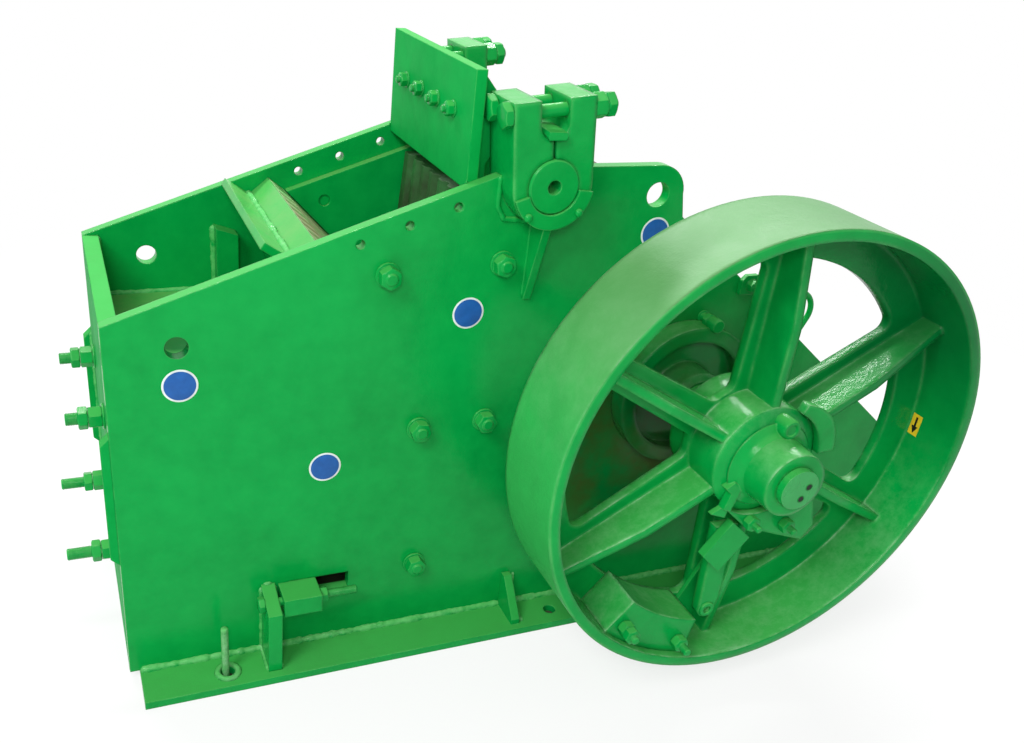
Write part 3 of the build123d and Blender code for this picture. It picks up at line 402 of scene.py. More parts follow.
def chamber_die():
    graph = Graph("grimy_and_shaded_moving_die")
    rounded, edge = edges_of(graph, 0.005)
    patches = graph.patches(7.0, 0.35, 0.65, 6.0, 0.65)
    # dark grime colours, painted darker still as shade
    body = graph.blend(patches, rgb(34, 58, 26), rgb(44, 104, 52))
    body = graph.blend(edge * 0.4, body, rgb(84, 128, 74))
    bump = graph.bump(0.5, 0.002, graph.noise(80.0, 6.0, 0.7), rounded)
    return graph.surface({"IOR": 1.5, "Specular IOR Level": 0.3},
                         {"Base Color": body, "Roughness": 0.6 - patches * 0.15, "Normal": bump})


def sheave_metal():
    graph = Graph("turned_grey_iron")
    rounded, edge = edges_of(graph, 0.002)
    patches = graph.patches(7.0, 0.3, 0.7, 5.0, 0.6)
    stains = graph.patches(23.0, 0.45, 0.7, 5.0, 0.65)
    body = graph.blend(patches, rgb(84, 82, 66), rgb(150, 148, 130))
    body = graph.blend(stains * 0.6, body, rgb(96, 76, 46))
    body = graph.blend(edge * 0.6, body, rgb(206, 204, 190))
    bump = graph.bump(0.3, 0.001, graph.noise(120.0, 3.0), rounded)
    return graph.surface({"IOR": 1.5}, {"Base Color": body, "Metallic": patches * 0.4 + 0.35,
                                        "Roughness": 0.5 - patches * 0.18, "Normal": bump})


def turned_steel(name, painted_end=False):
    graph = Graph(name)
    rounded, edge = edges_of(graph, 0.002)
    patches = graph.patches(19.0, 0.3, 0.7, 4.0)
    body = graph.blend(patches, rgb(120, 118, 112), rgb(176, 174, 168))
    body = graph.blend(edge * 0.5, body, rgb(214, 212, 206))
    metallic = 0.95 - patches * 0.1
    bare = 1.0
    if painted_end:
        bare = graph.spread(graph.along("Y"), -(HALF + 8.0) * MM, -(HALF + 4.0) * MM)
        body = graph.blend(bare, paint_layers(graph, edge), body)
        metallic = metallic * bare
    bump = graph.bump(0.2, 0.0006, graph.noise(260.0, 2.0), rounded)
    return graph.surface({"IOR": 1.5}, {"Base Color": body, "Metallic": metallic,
                                        "Roughness": 0.34 - patches * 0.1, "Normal": bump})


die_finish, moving_die_finish, sheave_finish = worn_die(), chamber_die(), sheave_metal()
shaft_finish = turned_steel("shaft_steel_and_paint", painted_end=True)
steel_finish = turned_steel("turned_steel")
metals = (die_finish, moving_die_finish, sheave_finish, shaft_finish, steel_finish)
print("metals:", ", ".join(made.name for made in metals))

# %% [markdown]
# ## Dressing the CAD nodes
# A CAD node whose shape is right only needs its material. The castings get the rougher paint, what
# rock passes over gets dust, what stands behind the flywheel gets grime and painted shade, and
# everything else gets the plain paint.

# %% Finish of each CAD node
FINISHES = {
    cast_paint: ("bearing_housing_far", "hinge_clamp_near", "hinge_clamp_far", "hub_collar",
                 "counterweight", "counterweight_arm"),
    wheel_paint: ("flywheel",),
    matt_paint: ("front_wall", "front_bar_near", "front_bar_far", "guard_plate"),
    dusty_shaded_paint: ("front_shelf", "fixed_jaw_holder", "swing_jaw", "cheek_plate_near", "cheek_plate_far",
                  "feed_lip", "crankcase_floor"),
    grimy_shaded_paint: ("side_plate_near", "base_flange_near"),
    grimy_shaded_cast: ("bearing_housing_near",),
    die_finish: ("fixed_jaw_die",),
    moving_die_finish: ("swing_jaw_die",),
    sheave_finish: ("drive_sheave",),
    shaft_finish: ("eccentric_shaft",),
    steel_finish: ("toggle_plate",),
}
finish_of = {node_name: finish for finish, names in FINISHES.items() for node_name in names}
for node_name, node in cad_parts.items():
    node.data.materials.clear()
    node.data.materials.append(finish_of.get(node_name, paint))
print("finished", len(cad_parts), "nodes,", len(finish_of), "of them in a finish of their own")

# %% [markdown]
# ## Collecting a shape
# Bolts, beads and discs are all stacks of rings: a ring is carried along a line, and each ring is sewn
# to the next with four-sided faces. One small class keeps the points and faces until the shape is
# complete, and then makes a Blender object of it that rides on a body of the frame.

# %% Shape collector
class Shape:
    """Points in millimetres and faces, kept until they become one piece."""

    def __init__(self):
        self.points = []
        self.faces = []

    def rings(self, rings, loop=False):
        """Sews rings of equal length together and closes both ends unless they meet."""
        first, count = len(self.points), len(rings[0])
        for ring in rings:
            self.points.extend(ring)
        for i in range(len(rings) if loop else len(rings) - 1):
            a, b = first + i * count, first + (i + 1) % len(rings) * count
            for j in range(count):
                k = (j + 1) % count
                self.faces.append((a + j, a + k, b + k, b + j))
        if not loop:
            last = first + (len(rings) - 1) * count
            self.faces.append(tuple(first + j for j in reversed(range(count))))
            self.faces.append(tuple(last + j for j in range(count)))

    def mirrored(self):
        """The same shape on the other side of the machine."""
        other = Shape()
        other.points = [Vector((p[0], -p[1], p[2])) for p in self.points]
        other.faces = [tuple(reversed(face)) for face in self.faces]
        return other

    def piece(self, name, finish, body, slot, sharp=35.0):
        mesh = bpy.data.meshes.new(name)
        mesh.from_pydata([Vector(p) * MM for p in self.points], [], self.faces)
        outward = bmesh.new()
        outward.from_mesh(mesh)
        bmesh.ops.recalc_face_normals(outward, faces=outward.faces)
        outward.to_mesh(mesh)
        outward.free()
        for polygon in mesh.polygons:
            polygon.use_smooth = True
        mesh.set_sharp_from_angle(angle=math.radians(sharp))
        mesh.materials.append(finish)
        made = bpy.data.objects.new(name, mesh)
        bpy.context.scene.collection.objects.link(made)
        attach(made, body)
        print("made", name, "with", len(mesh.polygons), "faces")
        return made


def cross_axes(axis):
    """Two directions square to an axis and to each other."""
    along = Vector(axis).normalized()
    helper = Vector((0, 0, 1)) if abs(along.z) < 0.9 else Vector((1, 0, 0))
    side = helper.cross(along).normalized()
    return along, side, along.cross(side)


def ring_at(origin, axis, reach, radius, count, turn=0.0):
    """A ring of points about an axis; radius may be a number or a function of the angle."""
    along, side, up = cross_axes(axis)
    centre = Vector(origin) + along * reach
    points = []
    for i in range(count):
        angle = 2 * math.pi * i / count + turn
        r = radius(angle) if callable(radius) else radius
        points.append(centre + side * (r * math.cos(angle)) + up * (r * math.sin(angle)))
    return points


def lathe(shape, origin, axis, profile, count=32):
    """Turns a profile of (distance along the axis, radius) pairs."""
    shape.rings([ring_at(origin, axis, reach, max(radius, 0.02), count) for reach, radius in profile])


def annulus(shape, origin, axis, profile, count=48):
    """Turns a closed profile into a ring with a hole through it."""
    shape.rings([ring_at(origin, axis, reach, radius, count) for reach, radius in profile], loop=True)


def prism(shape, outline, rise):
    """A plate, from its outline and the way from one face to the other."""
    shape.rings([[Vector(p) for p in outline], [Vector(p) + Vector(rise) for p in outline]])


print("shape helpers ready")

# %% [markdown]
# ## Nuts, heads and threads
# A real hexagon nut isn't a plain six-sided prism: a cone has been turned off its ends, which leaves a
# round flat face and a curved chamfer that dips at the six corners. The height of each point of the
# outline therefore falls with its distance from the axis. A thread seen from a few metres is a stack of
# fine ridges, so its profile is a zigzag that is turned on the lathe.

# %% Hexagons and threads
def hexagon(flats, turn=0.0):
    """Distance from the axis to a hexagon's side, as a function of the angle."""
    def reach(angle):
        return flats / 2 / math.cos((angle - turn + math.pi / 6) % (math.pi / 3) - math.pi / 6)
    return reach


def hex_body(shape, origin, axis, flats, height, step=0, count=36):
    """A hexagon with its ends turned to a cone, turned by some steps of ten degrees."""
    along = Vector(axis).normalized()
    outline = hexagon(flats, math.radians(10 * step))
    flat = flats / 2 * 0.95
    rings = [ring_at(origin, axis, 0, flat, count)]
    for end in (0, 1):
        ring = []
        for i, point in enumerate(ring_at(origin, axis, 0, outline, count)):
            dip = (outline(2 * math.pi * i / count) - flat) * 0.55
            ring.append(point + along * (height - dip if end else dip))
        rings.append(ring)
    rings.append(ring_at(origin, axis, height, flat, count))
    shape.rings(rings)


def thread(shape, origin, axis, radius, length, pitch=3.5, count=24):
    """A threaded rod end with a small chamfer."""
    turns = int(length / pitch)
    profile = [(0.0, radius)]
    for turn in range(turns):
        profile += [((turn + 0.5) * pitch, radius - pitch * 0.5), ((turn + 1.0) * pitch, radius)]
    profile += [(length, radius - 1.0), (length + 2.0, radius - 3.0)]
    lathe(shape, origin, axis, profile, count)


def washer(shape, origin, axis, radius, thick, count=40):
    profile = [(0, radius - 0.6), (0.6, radius), (thick - 1, radius), (thick, radius - 1)]
    lathe(shape, origin, axis, profile, count)


def stack(shape, origin, axis, flats, nuts, rod, proud, disc=0.0, thick=0.0, step=0):
    """A washer, nuts one on the other and the rod's threaded end, outwards from the origin."""
    along = Vector(axis).normalized()
    start = Vector(origin)
    reach = 0.0
    if disc:
        washer(shape, start, along, disc, thick)
        reach = thick
    for number, height in enumerate(nuts):
        hex_body(shape, start + along * reach, along, flats, height, step + 2 * number)
        reach += height + 0.5
    if proud:
        thread(shape, start + along * (reach - 0.5), along, rod, proud)


print("fastener helpers ready")

# %% [markdown]
# ## The four long studs on the front
# They pull the fixed jaw against its wedges. Each has a flat washer on the front wall, a nut with a
# second one locked against it, and a length of thread under paint. The whole set is one mesh that
# replaces the plain CAD studs.

# %% Jaw studs
STUD_ROWS, STUD_OFFSET = ((670.0, 85.0), (300.0, 115.0)), 158.0
studs = Shape()
for number, (height, reach) in enumerate(STUD_ROWS):
    for side in (-1, 1):
        start = Vector((FRONT, side * STUD_OFFSET, height))
        stack(studs, start, (-1, 0, 0), 46.0, (30.0, 22.0), 15.0, reach - 60.0, 30.0, 5.0,
              number + side + 1)
        lathe(studs, start, (1, 0, 0), [(0, 15.0), (560.0, 15.0)], 24)
jaw_studs = studs.piece("jaw_stud_set", paint, "frame", "bare_steel")
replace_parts(jaw_studs, "jaw_studs")

# %% [markdown]
# ## Bolts through the side plates
# Five on each side hold the cheek plates and the wedge beam. The nut sits on a washer and the end of
# the stud stands a few millimetres proud.

# %% Frame bolts
UPPER_BOLTS = ((610.0, 131.0), (884.0, 212.0))
LOWER_BOLTS = ((710.0, 627.0), (882.0, 631.0), (727.0, 217.0))
bolt_spots = [(FRONT + x, edge_height(FRONT + x) - drop) for x, drop in UPPER_BOLTS]
bolt_spots += [(FRONT + x, z) for x, z in LOWER_BOLTS]
bolts = Shape()
for number, (x, z) in enumerate(bolt_spots):
    start = Vector((x, -HALF, z))
    stack(bolts, start, (0, -1, 0), 46.0, (26.0,), 15.0, 1.5, 30.0, 5.0, number)
    lathe(bolts, start, (0, 1, 0), [(0, 15.0), (30.0 if number == 4 else 51.0, 15.0)], 24)
near_bolts = bolts.piece("frame_bolt_set_near", paint, "frame", "green_paint")
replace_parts(near_bolts, "frame_bolts_near")
far_bolts = bolts.mirrored().piece("frame_bolt_set_far", paint, "frame", "green_paint")
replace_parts(far_bolts, "frame_bolts_far")

# %% [markdown]
# ## The hinge clamps' bolts
# Two long bolts squeeze each split clamp onto the pin. They lie square to the slot, which leans back by
# six degrees, so their axis is worked out from that angle. A head sits against the front of the block,
# and a nut with a locknut on the rear. A loose taper key lies in the round floor of each slot, and two
# screws with rounded heads hold the keeper ring under the pin.

# %% Clamp bolts, keys and keeper screws
TILT = math.radians(6.0)
ACROSS = Vector((math.cos(TILT), 0.0, math.sin(TILT)))
UPWARDS = Vector((-math.sin(TILT), 0.0, math.cos(TILT)))
CLAMP_HALF, CLAMP_FACE = 95.0, HALF + 65.0
clamp_bolts, clamp_fittings = Shape(), Shape()
for number, offset in enumerate((-39.0, 39.0)):
    centre = PIN + UPWARDS * 158.0 + Vector((0, offset - HALF, 0))
    hex_body(clamp_bolts, centre - ACROSS * CLAMP_HALF, -ACROSS, 50.0, 20.0, number)
    lathe(clamp_bolts, centre - ACROSS * CLAMP_HALF, ACROSS, [(0, 15.0), (2 * CLAMP_HALF, 15.0)], 32)
    stack(clamp_bolts, centre + ACROSS * CLAMP_HALF, ACROSS, 50.0, (30.0, 21.0), 15.0, 6.0, step=number)
key_floor = PIN + UPWARDS * 104.0 + Vector((0, -CLAMP_FACE - 14.0, 0))
key = ((-24, 10), (-20, 2), (20, -2), (25, 6), (22, 14), (-20, 20))
prism(clamp_fittings, [key_floor + ACROSS * a + UPWARDS * b for a, b in key], Vector((0, 74.0, 4.0)))
for angle in (-138.0, -47.0):
    turn = math.radians(angle)
    screw = PIN + ACROSS * (86.0 * math.cos(turn)) + UPWARDS * (86.0 * math.sin(turn))
    screw.y = -CLAMP_FACE - 10.0
    lathe(clamp_fittings, screw, (0, -1, 0), [(0, 9.5), (4.0, 9.5), (7.0, 7.5), (8.5, 4.0), (8.8, 0.5)], 24)
for bolts_made, fittings_made, side in ((clamp_bolts, clamp_fittings, "near"),
                                        (clamp_bolts.mirrored(), clamp_fittings.mirrored(), "far")):
    fittings_made.piece("clamp_fittings_" + side, paint, "frame", "green_paint")
    piece = bolts_made.piece("clamp_bolt_set_" + side, paint, "frame", "green_paint")
    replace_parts(piece, "clamp_bolts_" + side)

# %% [markdown]
# ## The wedge adjusters' bolts
# A bolt runs from the bracket on the flange through the wedge block. Its line is the middle of the CAD
# bolt's box, and its head, nut and thread are cut properly here.

# %% Wedge bolts
wedge_low, wedge_high = box("wedge_bolt_near")
wedge_line = Vector((0.0, (wedge_low.y + wedge_high.y) / 2, (wedge_low.z + wedge_high.z) / 2))
wedge_front = box("wedge_block_near")[1].x
wedge = Shape()
hex_body(wedge, wedge_line + Vector((wedge_low.x, 0, 0)), (1, 0, 0), 36.0, 16.0, 1)
shank_start = wedge_line + Vector((wedge_low.x + 16.0, 0, 0))
lathe(wedge, shank_start, (1, 0, 0), [(0, 11.0), (wedge_front - wedge_low.x - 16.0, 11.0)])
nut_start = wedge_line + Vector((wedge_front, 0, 0))
stack(wedge, nut_start, (1, 0, 0), 36.0, (20.0,), 11.0, wedge_high.x - wedge_front - 22.0)
for made, side in ((wedge, "near"), (wedge.mirrored(), "far")):
    piece = made.piece("wedge_bolt_set_" + side, paint, "frame", "green_paint")
    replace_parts(piece, "wedge_bolt_" + side)

# %% [markdown]
# ## Studs on the turning parts
# The collar's lobe is held by two short studs and the counterweight by two longer ones, of which the
# first has a locknut. These pieces ride on the crankshaft, so they go round with the flywheel.

# %% Hub and counterweight studs
def from_shaft(x, z, y):
    """A point given across and up from the shaft's centre, and out towards the near side."""
    return Vector((SHAFT.x + x, -y, SHAFT.z + z))


collar_low, collar_high = box("hub_collar")
RIB_FACE, COLLAR_FACE = -collar_high.y, -collar_low.y
hub_studs = Shape()
for number, (x, z) in enumerate(((-14.0, -157.0), (98.0, -184.0))):
    lathe(hub_studs, from_shaft(x, z, RIB_FACE), (0, -1, 0), [(0, 9.0), (COLLAR_FACE - RIB_FACE, 9.0)], 24)
    stack(hub_studs, from_shaft(x, z, COLLAR_FACE), (0, -1, 0), 34.0, (22.0,), 9.0, 20.0, step=number + 1)
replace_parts(hub_studs.piece("hub_stud_set", paint, "crankshaft", "green_paint"), "hub_studs")

weight_low, weight_high = box("counterweight")
WEB_FACE, WEIGHT_FACE = -weight_high.y, -weight_low.y
weight_studs = Shape()
for angle, nuts, proud in ((-127.0, (24.0, 20.0), 11.0), (-106.0, (24.0,), 26.0)):
    x, z = 519.0 * math.cos(math.radians(angle)), 519.0 * math.sin(math.radians(angle))
    shank = [(0, 11.0), (WEIGHT_FACE - WEB_FACE, 11.0)]
    lathe(weight_studs, from_shaft(x, z, WEB_FACE), (0, -1, 0), shank, 24)
    stack(weight_studs, from_shaft(x, z, WEIGHT_FACE), (0, -1, 0), 36.0, nuts, 11.0, proud, step=2)
weight_stud_set = weight_studs.piece("counterweight_stud_set", paint, "crankshaft", "green_paint")
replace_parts(weight_stud_set, "counterweight_studs")

# %% [markdown]
# ## Small things on the hub
# The hub's end runs out of its face in a cast fillet. A round-headed plug sits on that face over the
# shaft, a bent clip is tucked under the collar, the arm's eye is plugged, and the shaft's end has two
# tapped holes. The holes can't be cut into the CAD shaft, so each is a low countersunk ring round a
# dark disc of painted shade that stands in for the depth of the hole.

# %% Hub fillet, plug, clip and shaft-end holes
HUB_FACE = 700.0
SHAFT_END = -box("eccentric_shaft")[0].y
hub_bits, hole_shade_discs = Shape(), Shape()
plug = [(-22.0, 25.0), (22.0, 25.0), (27.0, 22.0), (27.0, 15.0), (24.0, 13.0), (24.0, 0.5)]
lathe(hub_bits, from_shaft(15.0, 104.0, HUB_FACE), (0, -1, 0), plug, 40)
clip = ((-92, -30), (-70, -50), (-86, -112), (-108, -104), (-96, -62), (-114, -46))
tail = ((-108, -104), (-86, -112), (-92, -134), (-134, -118))
for outline, height in ((clip, 22.0), (tail, 14.0)):
    prism(hub_bits, [from_shaft(x, z, HUB_FACE - 12.0) for x, z in outline], (0, -height, 0))
fillet = [(-4.0, 78.0), (-4.0, 112.0), (0.0, 108.0), (5.0, 95.0), (14.0, 87.0), (26.0, 82.5), (30.0, 78.0)]
annulus(hub_bits, from_shaft(0.0, 0.0, HUB_FACE), (0, -1, 0), fillet, 96)
eye = [(0, 22.0), (5.0, 20.0), (6.0, 15.0), (5.0, 11.0), (0, 10.0)]
annulus(hub_bits, from_shaft(-42.0, -450.0, 668.0), (0, -1, 0), eye)
for x, z in ((23.0, 6.0), (9.0, -24.0)):
    lip = [(0, 9.5), (0.8, 9.0), (0.9, 7.6), (0, 7.0)]
    annulus(hub_bits, from_shaft(x, z, SHAFT_END), (0, -1, 0), lip, 32)
    # a dark disc of painted shade in the hole
    lathe(hole_shade_discs, from_shaft(x, z, SHAFT_END), (0, -1, 0), [(0, 7.4), (0.3, 7.2)], 32)
hub_bits.piece("hub_fittings", paint, "crankshaft", "green_paint")

# %% [markdown]
# ## Small things on the frame
# Four bolts tie the guard plate to its bar. A grease fitting stands above the near bearing, a small
# bracket with a bolt sits on the near plate in front of it, and one anchor stud still stands in the
# first hole of the near flange, inside the raised ring that was welded round it.

# %% Guard bolts, grease fitting, bracket and anchor stud
guard_face = box("guard_plate")[0].x
guard_bolts = Shape()
for number, y in enumerate((-158.0, -53.0, 53.0, 158.0)):
    stack(guard_bolts, (guard_face, y, 1357.0), (-1, 0, 0), 30.0, (17.0,), 9.0, 7.0, 19.0, 3.0, number)
guard_bolts.piece("guard_bolts", paint, "frame", "green_paint")

fitting = Shape()
fitting_foot = Vector((352.0, -HALF, 863.0))
lathe(fitting, fitting_foot, (0, -1, 0), [(0, 17.0), (3.0, 17.0), (4.0, 12.0), (22.0, 12.0)], 32)
hex_body(fitting, fitting_foot + Vector((0, -22.0, 0)), (0, -1, 0), 36.0, 16.0, 1)
cap = [(0, 14.0), (3.0, 18.5), (30.0, 18.5), (34.0, 16.0)]
lathe(fitting, fitting_foot + Vector((0, -38.0, 0)), (0, -1, 0), cap, 40)
bracket = ((0, 0), (66, 0), (66, 34), (48, 52), (14, 52), (0, 38))
prism(fitting, [(440.0 + x, -HALF, 921.0 + z) for x, z in bracket], (0, -14.0, 0))
stack(fitting, (471.0, -HALF - 14.0, 947.0), (0, -1, 0), 30.0, (17.0,), 9.0, 6.0, 17.0, 3.0, 1)
fitting.piece("grease_fitting", paint, "frame", "green_paint")

anchor = Shape()
anchor_spot = Vector((-ANCHOR_X, -ANCHOR_Y, 0.0))
thread(anchor, anchor_spot + Vector((-5.0, 5.0, 0.5)), (0, 0, 1), 9.0, 158.0, 2.5)
annulus(anchor, anchor_spot + Vector((0, 0, FLANGE)), (0, 0, 1),
        [(-1.0, 34.0), (3.0, 33.0), (7.0, 28.0), (7.0, 22.0), (3.0, 18.0), (-1.0, 17.6)])
anchor.piece("anchor_stud", weld_paint, "frame", "green_paint", sharp=60)

# %% [markdown]
# ## Weld beads
# The frame is a weldment, and its beads are what the eye finds first on the flanges and inside the
# front box. A bead is a half-sunk round rod whose surface is a row of overlapping scales, one for each
# pause of the welder, and which wanders a little in width. The rod is swept along its corner line; the
# scales come from a sine of the length and the wander from a noise.

# %% Bead helper
def bead(shape, path, radius=7.0, scale=9.0, seed=0.0, step=3.0, count=10, loop=False):
    """A lumpy bead along a line of points."""
    points = [Vector(p) for p in path]
    if loop:
        points.append(points[0])
    spots, travelled = [], 0.0
    for a, b in zip(points, points[1:]):
        length = (b - a).length
        pieces = max(1, round(length / step))
        for i in range(pieces):
            spots.append((a.lerp(b, i / pieces), (b - a).normalized(), travelled + length * i / pieces))
        travelled += length
    if not loop:
        spots.append((points[-1], (points[-1] - points[-2]).normalized(), travelled))
    rings = []
    for spot, direction, distance in spots:
        ripple = 0.08 * abs(math.sin(math.pi * distance / scale))
        wander = 0.3 * noise.noise(Vector((distance / 57.0, seed, 0.0)))
        lumps = 0.32 * noise.noise(Vector((distance / 15.0, seed, 5.0)))
        r = radius * (0.9 + ripple + wander + lumps)
        if not loop:
            r *= min(1.0, 0.35 + min(distance, travelled - distance) / 9.0)
        rings.append(ring_at(spot, direction, 0.0, r, count))
    shape.rings(rings, loop)


print("bead helper ready")

# %% [markdown]
# ## Beads outside
# The longest bead joins the side plate to its flange. Shorter ones hold the wedge bracket and the small
# gusset, and softer ones, which the thick paint nearly hides, run round the foot of the hinge clamp and
# along its rib. They are drawn once, on the near side, and mirrored.

# %% Beads on the side plates and flanges
def side_beads():
    """Beads of the near side, drawn once and mirrored for the far side."""
    beads = Shape()
    bead(beads, [(FRONT + 24, -HALF, FLANGE), (REAR - 2, -HALF, FLANGE)], 12.0, 17.0, seed=1.0)
    low, high = box("wedge_bracket_near")
    for x in (low.x, high.x):
        bead(beads, [(x, -HALF, high.z - 8), (x, -HALF, FLANGE), (x, low.y + 6, FLANGE)], 6.0, seed=x)
    bead(beads, [(low.x + 6, -HALF, high.z), (high.x - 6, -HALF, high.z)], 6.0, seed=2.0)
    for x in (-121.0, -97.0):
        bead(beads, [(x, -HALF, 122), (x, -HALF, FLANGE), (x, -HALF - 90, FLANGE)], 6.0, seed=x)
    return beads


def clamp_beads():
    """Beads round the near hinge clamp and its rib, which the thick paint nearly hides."""
    beads = Shape()
    low, high = box("clamp_rib_near")
    for x in (low.x, high.x):
        bead(beads, [(x, -HALF, low.z + 6), (x, -HALF, high.z - 4)], 4.0, 30.0, seed=x)
    bead(beads, [(low.x, -HALF, low.z), (high.x, -HALF, low.z)], 4.0, 30.0, seed=5.0)
    foot = [(-268.0, edge_height(-268.0) + 2), (-268.0, 1176.0), (-250.0, 1146.0), (-182.0, 1141.0)]
    bead(beads, [(x, -HALF, z) for x, z in foot], 7.0, 30.0, seed=6.0)
    heel = [(-158.0, 1141.0), (-92.0, 1146.0), (-76.0, 1170.0), (-76.0, 1256.0)]
    bead(beads, [(x, -HALF, z) for x, z in heel], 6.0, 30.0, seed=7.0)
    low = box("guard_plate")[0]
    bead(beads, [(low.x, -INNER, low.z + 14), (low.x, -INNER, edge_height(low.x) + 4)], 5.0, seed=8.0)
    return beads


for weld_name, welds, finish in (("side_welds_", side_beads(), weld_paint),
                                 ("clamp_welds_", clamp_beads(), paint)):
    welds.piece(weld_name + "near", finish, "frame", "green_paint", sharp=60)
    welds.mirrored().piece(weld_name + "far", finish, "frame", "green_paint", sharp=60)

# %% [markdown]
# ## Beads inside
# The beads in the front box are the thickest and most uneven ones: along the shelf, up the two corners,
# beside the posts and in the valley between the feed lip and the holder of the fixed jaw. One list of
# lines serves both sides, and its last line is outside, beside the bars on the front wall.

# %% Beads inside the front box and along the feed lip
shelf_top = box("front_shelf")[1].z
post_low, post_high = box("front_post_near")
WALL_BACK = box("front_wall")[1].x
front_box = Shape()
for side in (-1, 1):
    inner = side * INNER
    bar = side * (INNER - 2)
    lines = (((WALL_BACK, inner, shelf_top), (post_low.x, inner, shelf_top), 9.0),
             ((WALL_BACK, inner, shelf_top + 6), (WALL_BACK, inner, FRONT_HEIGHT - 4), 7.0),
             ((post_low.x, inner, shelf_top + 4), (post_low.x, inner, post_high.z - 4), 10.0),
             ((FRONT, bar, 352), (FRONT, bar, 688), 6.0))
    for number, (start, end, radius) in enumerate(lines):
        bead(front_box, [start, end], radius, seed=side + 4.0 + 2 * number)
bead(front_box, [(WALL_BACK, -262, shelf_top), (WALL_BACK, 262, shelf_top)], 7.0, seed=9.0)
valley_x = FRONT + 416.0
valley_z = edge_height(valley_x) - 46.5
valley = [(valley_x - 4, y, valley_z + 3) for y in (-216, 260)]
bead(front_box, valley, 9.0, 13.0, seed=14.0)
front_box.piece("front_box_welds", weld_paint, "frame", "green_paint", sharp=60)

# %% [markdown]
# ## Stickers
# Four round stickers of about 78 mm sit on the near side plate. Here they are plain blue discs with a
# white rim, turned as two thin wafers that lie on the paint. One small function makes all the films,
# and the painted shade of the shaft's tapped holes as well.

# %% Sticker finishes and discs
def flat_film(name, colour, roughness=0.35):
    graph = Graph(name)
    fade = graph.patches(55.0, 0.3, 0.7, 3.0)
    darker = tuple(c * 0.8 for c in colour[:3]) + (1.0,)
    return graph.surface({"IOR": 1.5, "Specular IOR Level": 0.3},
                         {"Base Color": graph.blend(fade, darker, colour),
                          "Roughness": fade * 0.08 + roughness,
                          "Normal": graph.bump(0.1, 0.0005, graph.noise(300.0))})


blue_film = flat_film("blue_sticker_film", rgb(24, 88, 160))
white_film = flat_film("white_sticker_film", rgb(214, 224, 222))
yellow_film = flat_film("yellow_label_film", rgb(226, 190, 40))
black_film = flat_film("black_ink", rgb(24, 24, 24))
# painted shade for the shaft's tapped holes
hole_shade_finish = flat_film("painted_hole_shade", rgb(16, 34, 20), 0.6)
STICKERS = ((154.0, 802.0), (480.0, 549.0), (812.0, 922.0), (1282.0, 1096.0))
rims, fields = Shape(), Shape()
for x, z in STICKERS:
    lathe(rims, (FRONT + x, -HALF, z), (0, -1, 0), [(0, 39.0), (0.4, 39.0), (0.5, 38.7)], 64)
    lathe(fields, (FRONT + x, -HALF, z), (0, -1, 0), [(0, 34.5), (0.8, 34.5), (0.9, 34.2)], 64)
rims.piece("sticker_rims", white_film, "frame", "green_paint")
fields.piece("sticker_fields", blue_film, "frame", "green_paint")
hole_shade_discs.piece("shaft_end_hole_shade", hole_shade_finish, "crankshaft", "bare_steel")

# %% [markdown]
# ## The label in the rim
# Inside the flywheel's rim a small yellow label shows which way the wheel turns. The rim is round, so a
# flat label would stick out of it: each corner is given by its angle about the shaft and its reach, and
# the patch between the corners is curved in a few steps. It carries nothing but an arrow.

# %% Label in the rim
RIM_INNER = 556.5


def on_rim(degrees, reach, lift):
    """A point of the rim's inner surface, at an angle about the shaft and a reach out from the middle."""
    turn = math.radians(degrees)
    return from_shaft((RIM_INNER - lift) * math.cos(turn), (RIM_INNER - lift) * math.sin(turn), reach)


def strip(shape, corners, low, high, steps=8):
    """A thin curved patch; corners are (degrees, reach) pairs of its four corners, in order."""
    (a0, r0), (a1, r1), (a2, r2), (a3, r3) = corners
    rings = []
    for i in range(steps + 1):
        t = i / steps
        left, right = (a0 + (a1 - a0) * t, r0 + (r1 - r0) * t), (a3 + (a2 - a3) * t, r3 + (r2 - r3) * t)
        rings.append([on_rim(*left, low), on_rim(*right, low), on_rim(*right, high), on_rim(*left, high)])
    shape.rings(rings)


label, arrow = Shape(), Shape()
strip(label, ((-5.0, 583), (1.0, 583), (1.0, 613), (-5.0, 613)), -0.3, 0.6)
strip(arrow, ((-2.4, 595), (0.2, 595), (0.2, 601), (-2.4, 601)), 0.3, 1.0)
strip(arrow, ((-4.4, 597.5), (-2.4, 588), (-2.4, 608), (-4.4, 598.5)), 0.3, 1.0)
label.piece("rim_label", yellow_film, "crankshaft", "green_paint")
arrow.piece("rim_label_arrow", black_film, "crankshaft", "green_paint")

# %% [markdown]
# ## Studio
# The photograph is a cut-out on white, so the floor must melt into the background and still take a faint
# shadow. Its finish is mostly white light for the camera and for reflections, and grows fully white with
# distance; only near the machine does a share of ordinary matt white let the shadow through, and right
# under it the floor is plain and painted dark as shade, so that holes and slots stay dark. The world does
# the same: white where it is seen, dimmer where it only lights, which keeps the paint's colour deep. One
# large lamp stands above and to the left, a weak one beside the camera opens up the insides, and a long
# narrow one above and behind the machine, like the row of lights in a hall, puts the glints on edges,
# ribs and welds.

# %% Floor, world and lamps
def seen_by(graph, *rays):
    """A mask that is 1 for the kinds of rays named."""
    path = graph.tree.nodes.new("ShaderNodeLightPath")
    mask = 0.0
    for ray in rays:
        mask = graph.node("ShaderNodeMath", {"operation": "MAXIMUM"},
                          {0: mask, 1: Signal(graph, path.outputs["Is %s Ray" % ray])})
    return mask


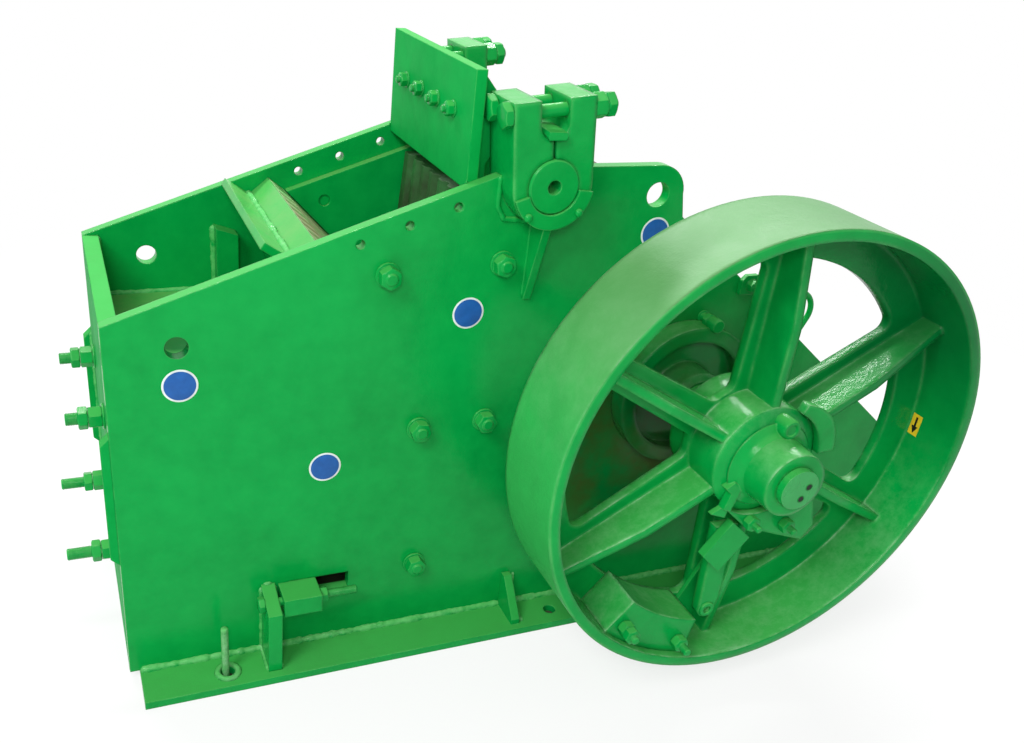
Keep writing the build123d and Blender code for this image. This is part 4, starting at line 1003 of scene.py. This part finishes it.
floor_mesh = bpy.data.meshes.new("studio_floor")
floor_mesh.from_pydata([(-30, -30, 0), (30, -30, 0), (30, 30, 0), (-30, 30, 0)], [], [(0, 1, 2, 3)])
floor = bpy.data.objects.new("studio_floor", floor_mesh)
bpy.context.scene.collection.objects.link(floor)
floor_graph = Graph("studio_floor_finish")
under = 1.0
for axis, reach in (("X", 1092.0), ("Y", 396.0)):
    from_middle = floor_graph.along(axis).absolute()
    under = floor_graph.spread(from_middle, (reach - 4) * MM, reach * MM, 1.0, 0.0) * under
mottle = floor_graph.patches(0.7, 0.3, 0.7)
tone = floor_graph.blend(mottle, rgb(238, 238, 238), rgb(244, 244, 244))
# right under the machine the floor is painted dark as shade
tone = floor_graph.blend(under, tone, rgb(70, 84, 60))
matt = floor_graph.node("ShaderNodeBsdfDiffuse", {}, {"Color": tone})
glow = floor_graph.node("ShaderNodeEmission", {}, {"Color": (1, 1, 1, 1), "Strength": 1.0})
away = 1 - floor_graph.near((0, 0, 0), 1600.0, 3200.0)
share = seen_by(floor_graph, "Camera", "Glossy", "Transmission") * (away * 0.22 + 0.78) * (1 - under)
floor_mesh.materials.append(floor_graph.finish(
    floor_graph.node("ShaderNodeMixShader", {}, {0: share, 1: matt, 2: glow})))

world = bpy.data.worlds.new("studio_world")
bpy.context.scene.world = world
sky = Graph("studio_world", world)
brightness = seen_by(sky, "Camera", "Glossy", "Transmission") * 0.52 + 0.48
sky.finish(sky.node("ShaderNodeBackground", {}, {"Color": (1, 1, 1, 1), "Strength": brightness}),
           "ShaderNodeOutputWorld")


def lamp(name, place, target, size, power, length=0.0):
    light = bpy.data.lights.new(name, "AREA")
    light.shape = "RECTANGLE" if length else "DISK"
    light.size = length or size
    if length:
        light.size_y = size
    light.energy = power
    made = bpy.data.objects.new(name, light)
    bpy.context.scene.collection.objects.link(made)
    made.location = place
    made.rotation_mode = "QUATERNION"
    made.rotation_quaternion = (Vector(target) - Vector(place)).to_track_quat("-Z", "Y")
    made.visible_camera = False


lamp("key_lamp", (-4.0, -2.8, 5.0), (0.0, -0.2, 0.6), 2.4, 230.0)
lamp("fill_lamp", (-1.5, -2.9, 2.6), (-0.1, 0.0, 0.6), 0.7, 40.0)
lamp("hall_lamps", (0.6, 2.6, 4.2), (0.2, -0.4, 0.5), 0.3, 330.0, length=7.0)
print("studio ready")

# %% [markdown]
# ## Camera
# The photograph was taken from a little above the height of a person's head, from the feed end of the
# flywheel side. The camera's place and directions were solved from the plates' edges and the wheel's
# rim, so it is set from an azimuth, an elevation and a small roll, with the lens and shift that go with
# them.

# %% Camera
AZIMUTH, ELEVATION, ROLL = 0.4105, -0.4955, 0.094
FOCAL_PIXELS, CENTRE_X, CENTRE_Y = 985.17, 445.12, 405.96
IMAGE_WIDTH, IMAGE_HEIGHT = 1024, 743
forward = Vector((math.sin(AZIMUTH) * math.cos(ELEVATION), math.cos(AZIMUTH) * math.cos(ELEVATION),
                  math.sin(ELEVATION)))
right = Vector((math.cos(AZIMUTH), -math.sin(AZIMUTH), 0.0))
up = right.cross(forward)
right, up = (right * math.cos(ROLL) + up * math.sin(ROLL), up * math.cos(ROLL) - right * math.sin(ROLL))
camera_data = bpy.data.cameras.new("photo_camera")
camera_data.sensor_width = 36.0
camera_data.lens = FOCAL_PIXELS * camera_data.sensor_width / IMAGE_WIDTH
camera_data.shift_x = (IMAGE_WIDTH / 2 - CENTRE_X) / IMAGE_WIDTH
camera_data.shift_y = (CENTRE_Y - IMAGE_HEIGHT / 2) / IMAGE_WIDTH
camera = bpy.data.objects.new("photo_camera", camera_data)
bpy.context.scene.collection.objects.link(camera)
turned = Matrix((right, up, -forward)).transposed().to_4x4()
camera.matrix_world = Matrix.Translation((-1.1879, -2.2262, 1.8166)) @ turned
bpy.context.scene.camera = camera
bpy.context.scene.view_settings.view_transform = "Standard"
print("camera at", [round(v, 3) for v in camera.matrix_world.translation])
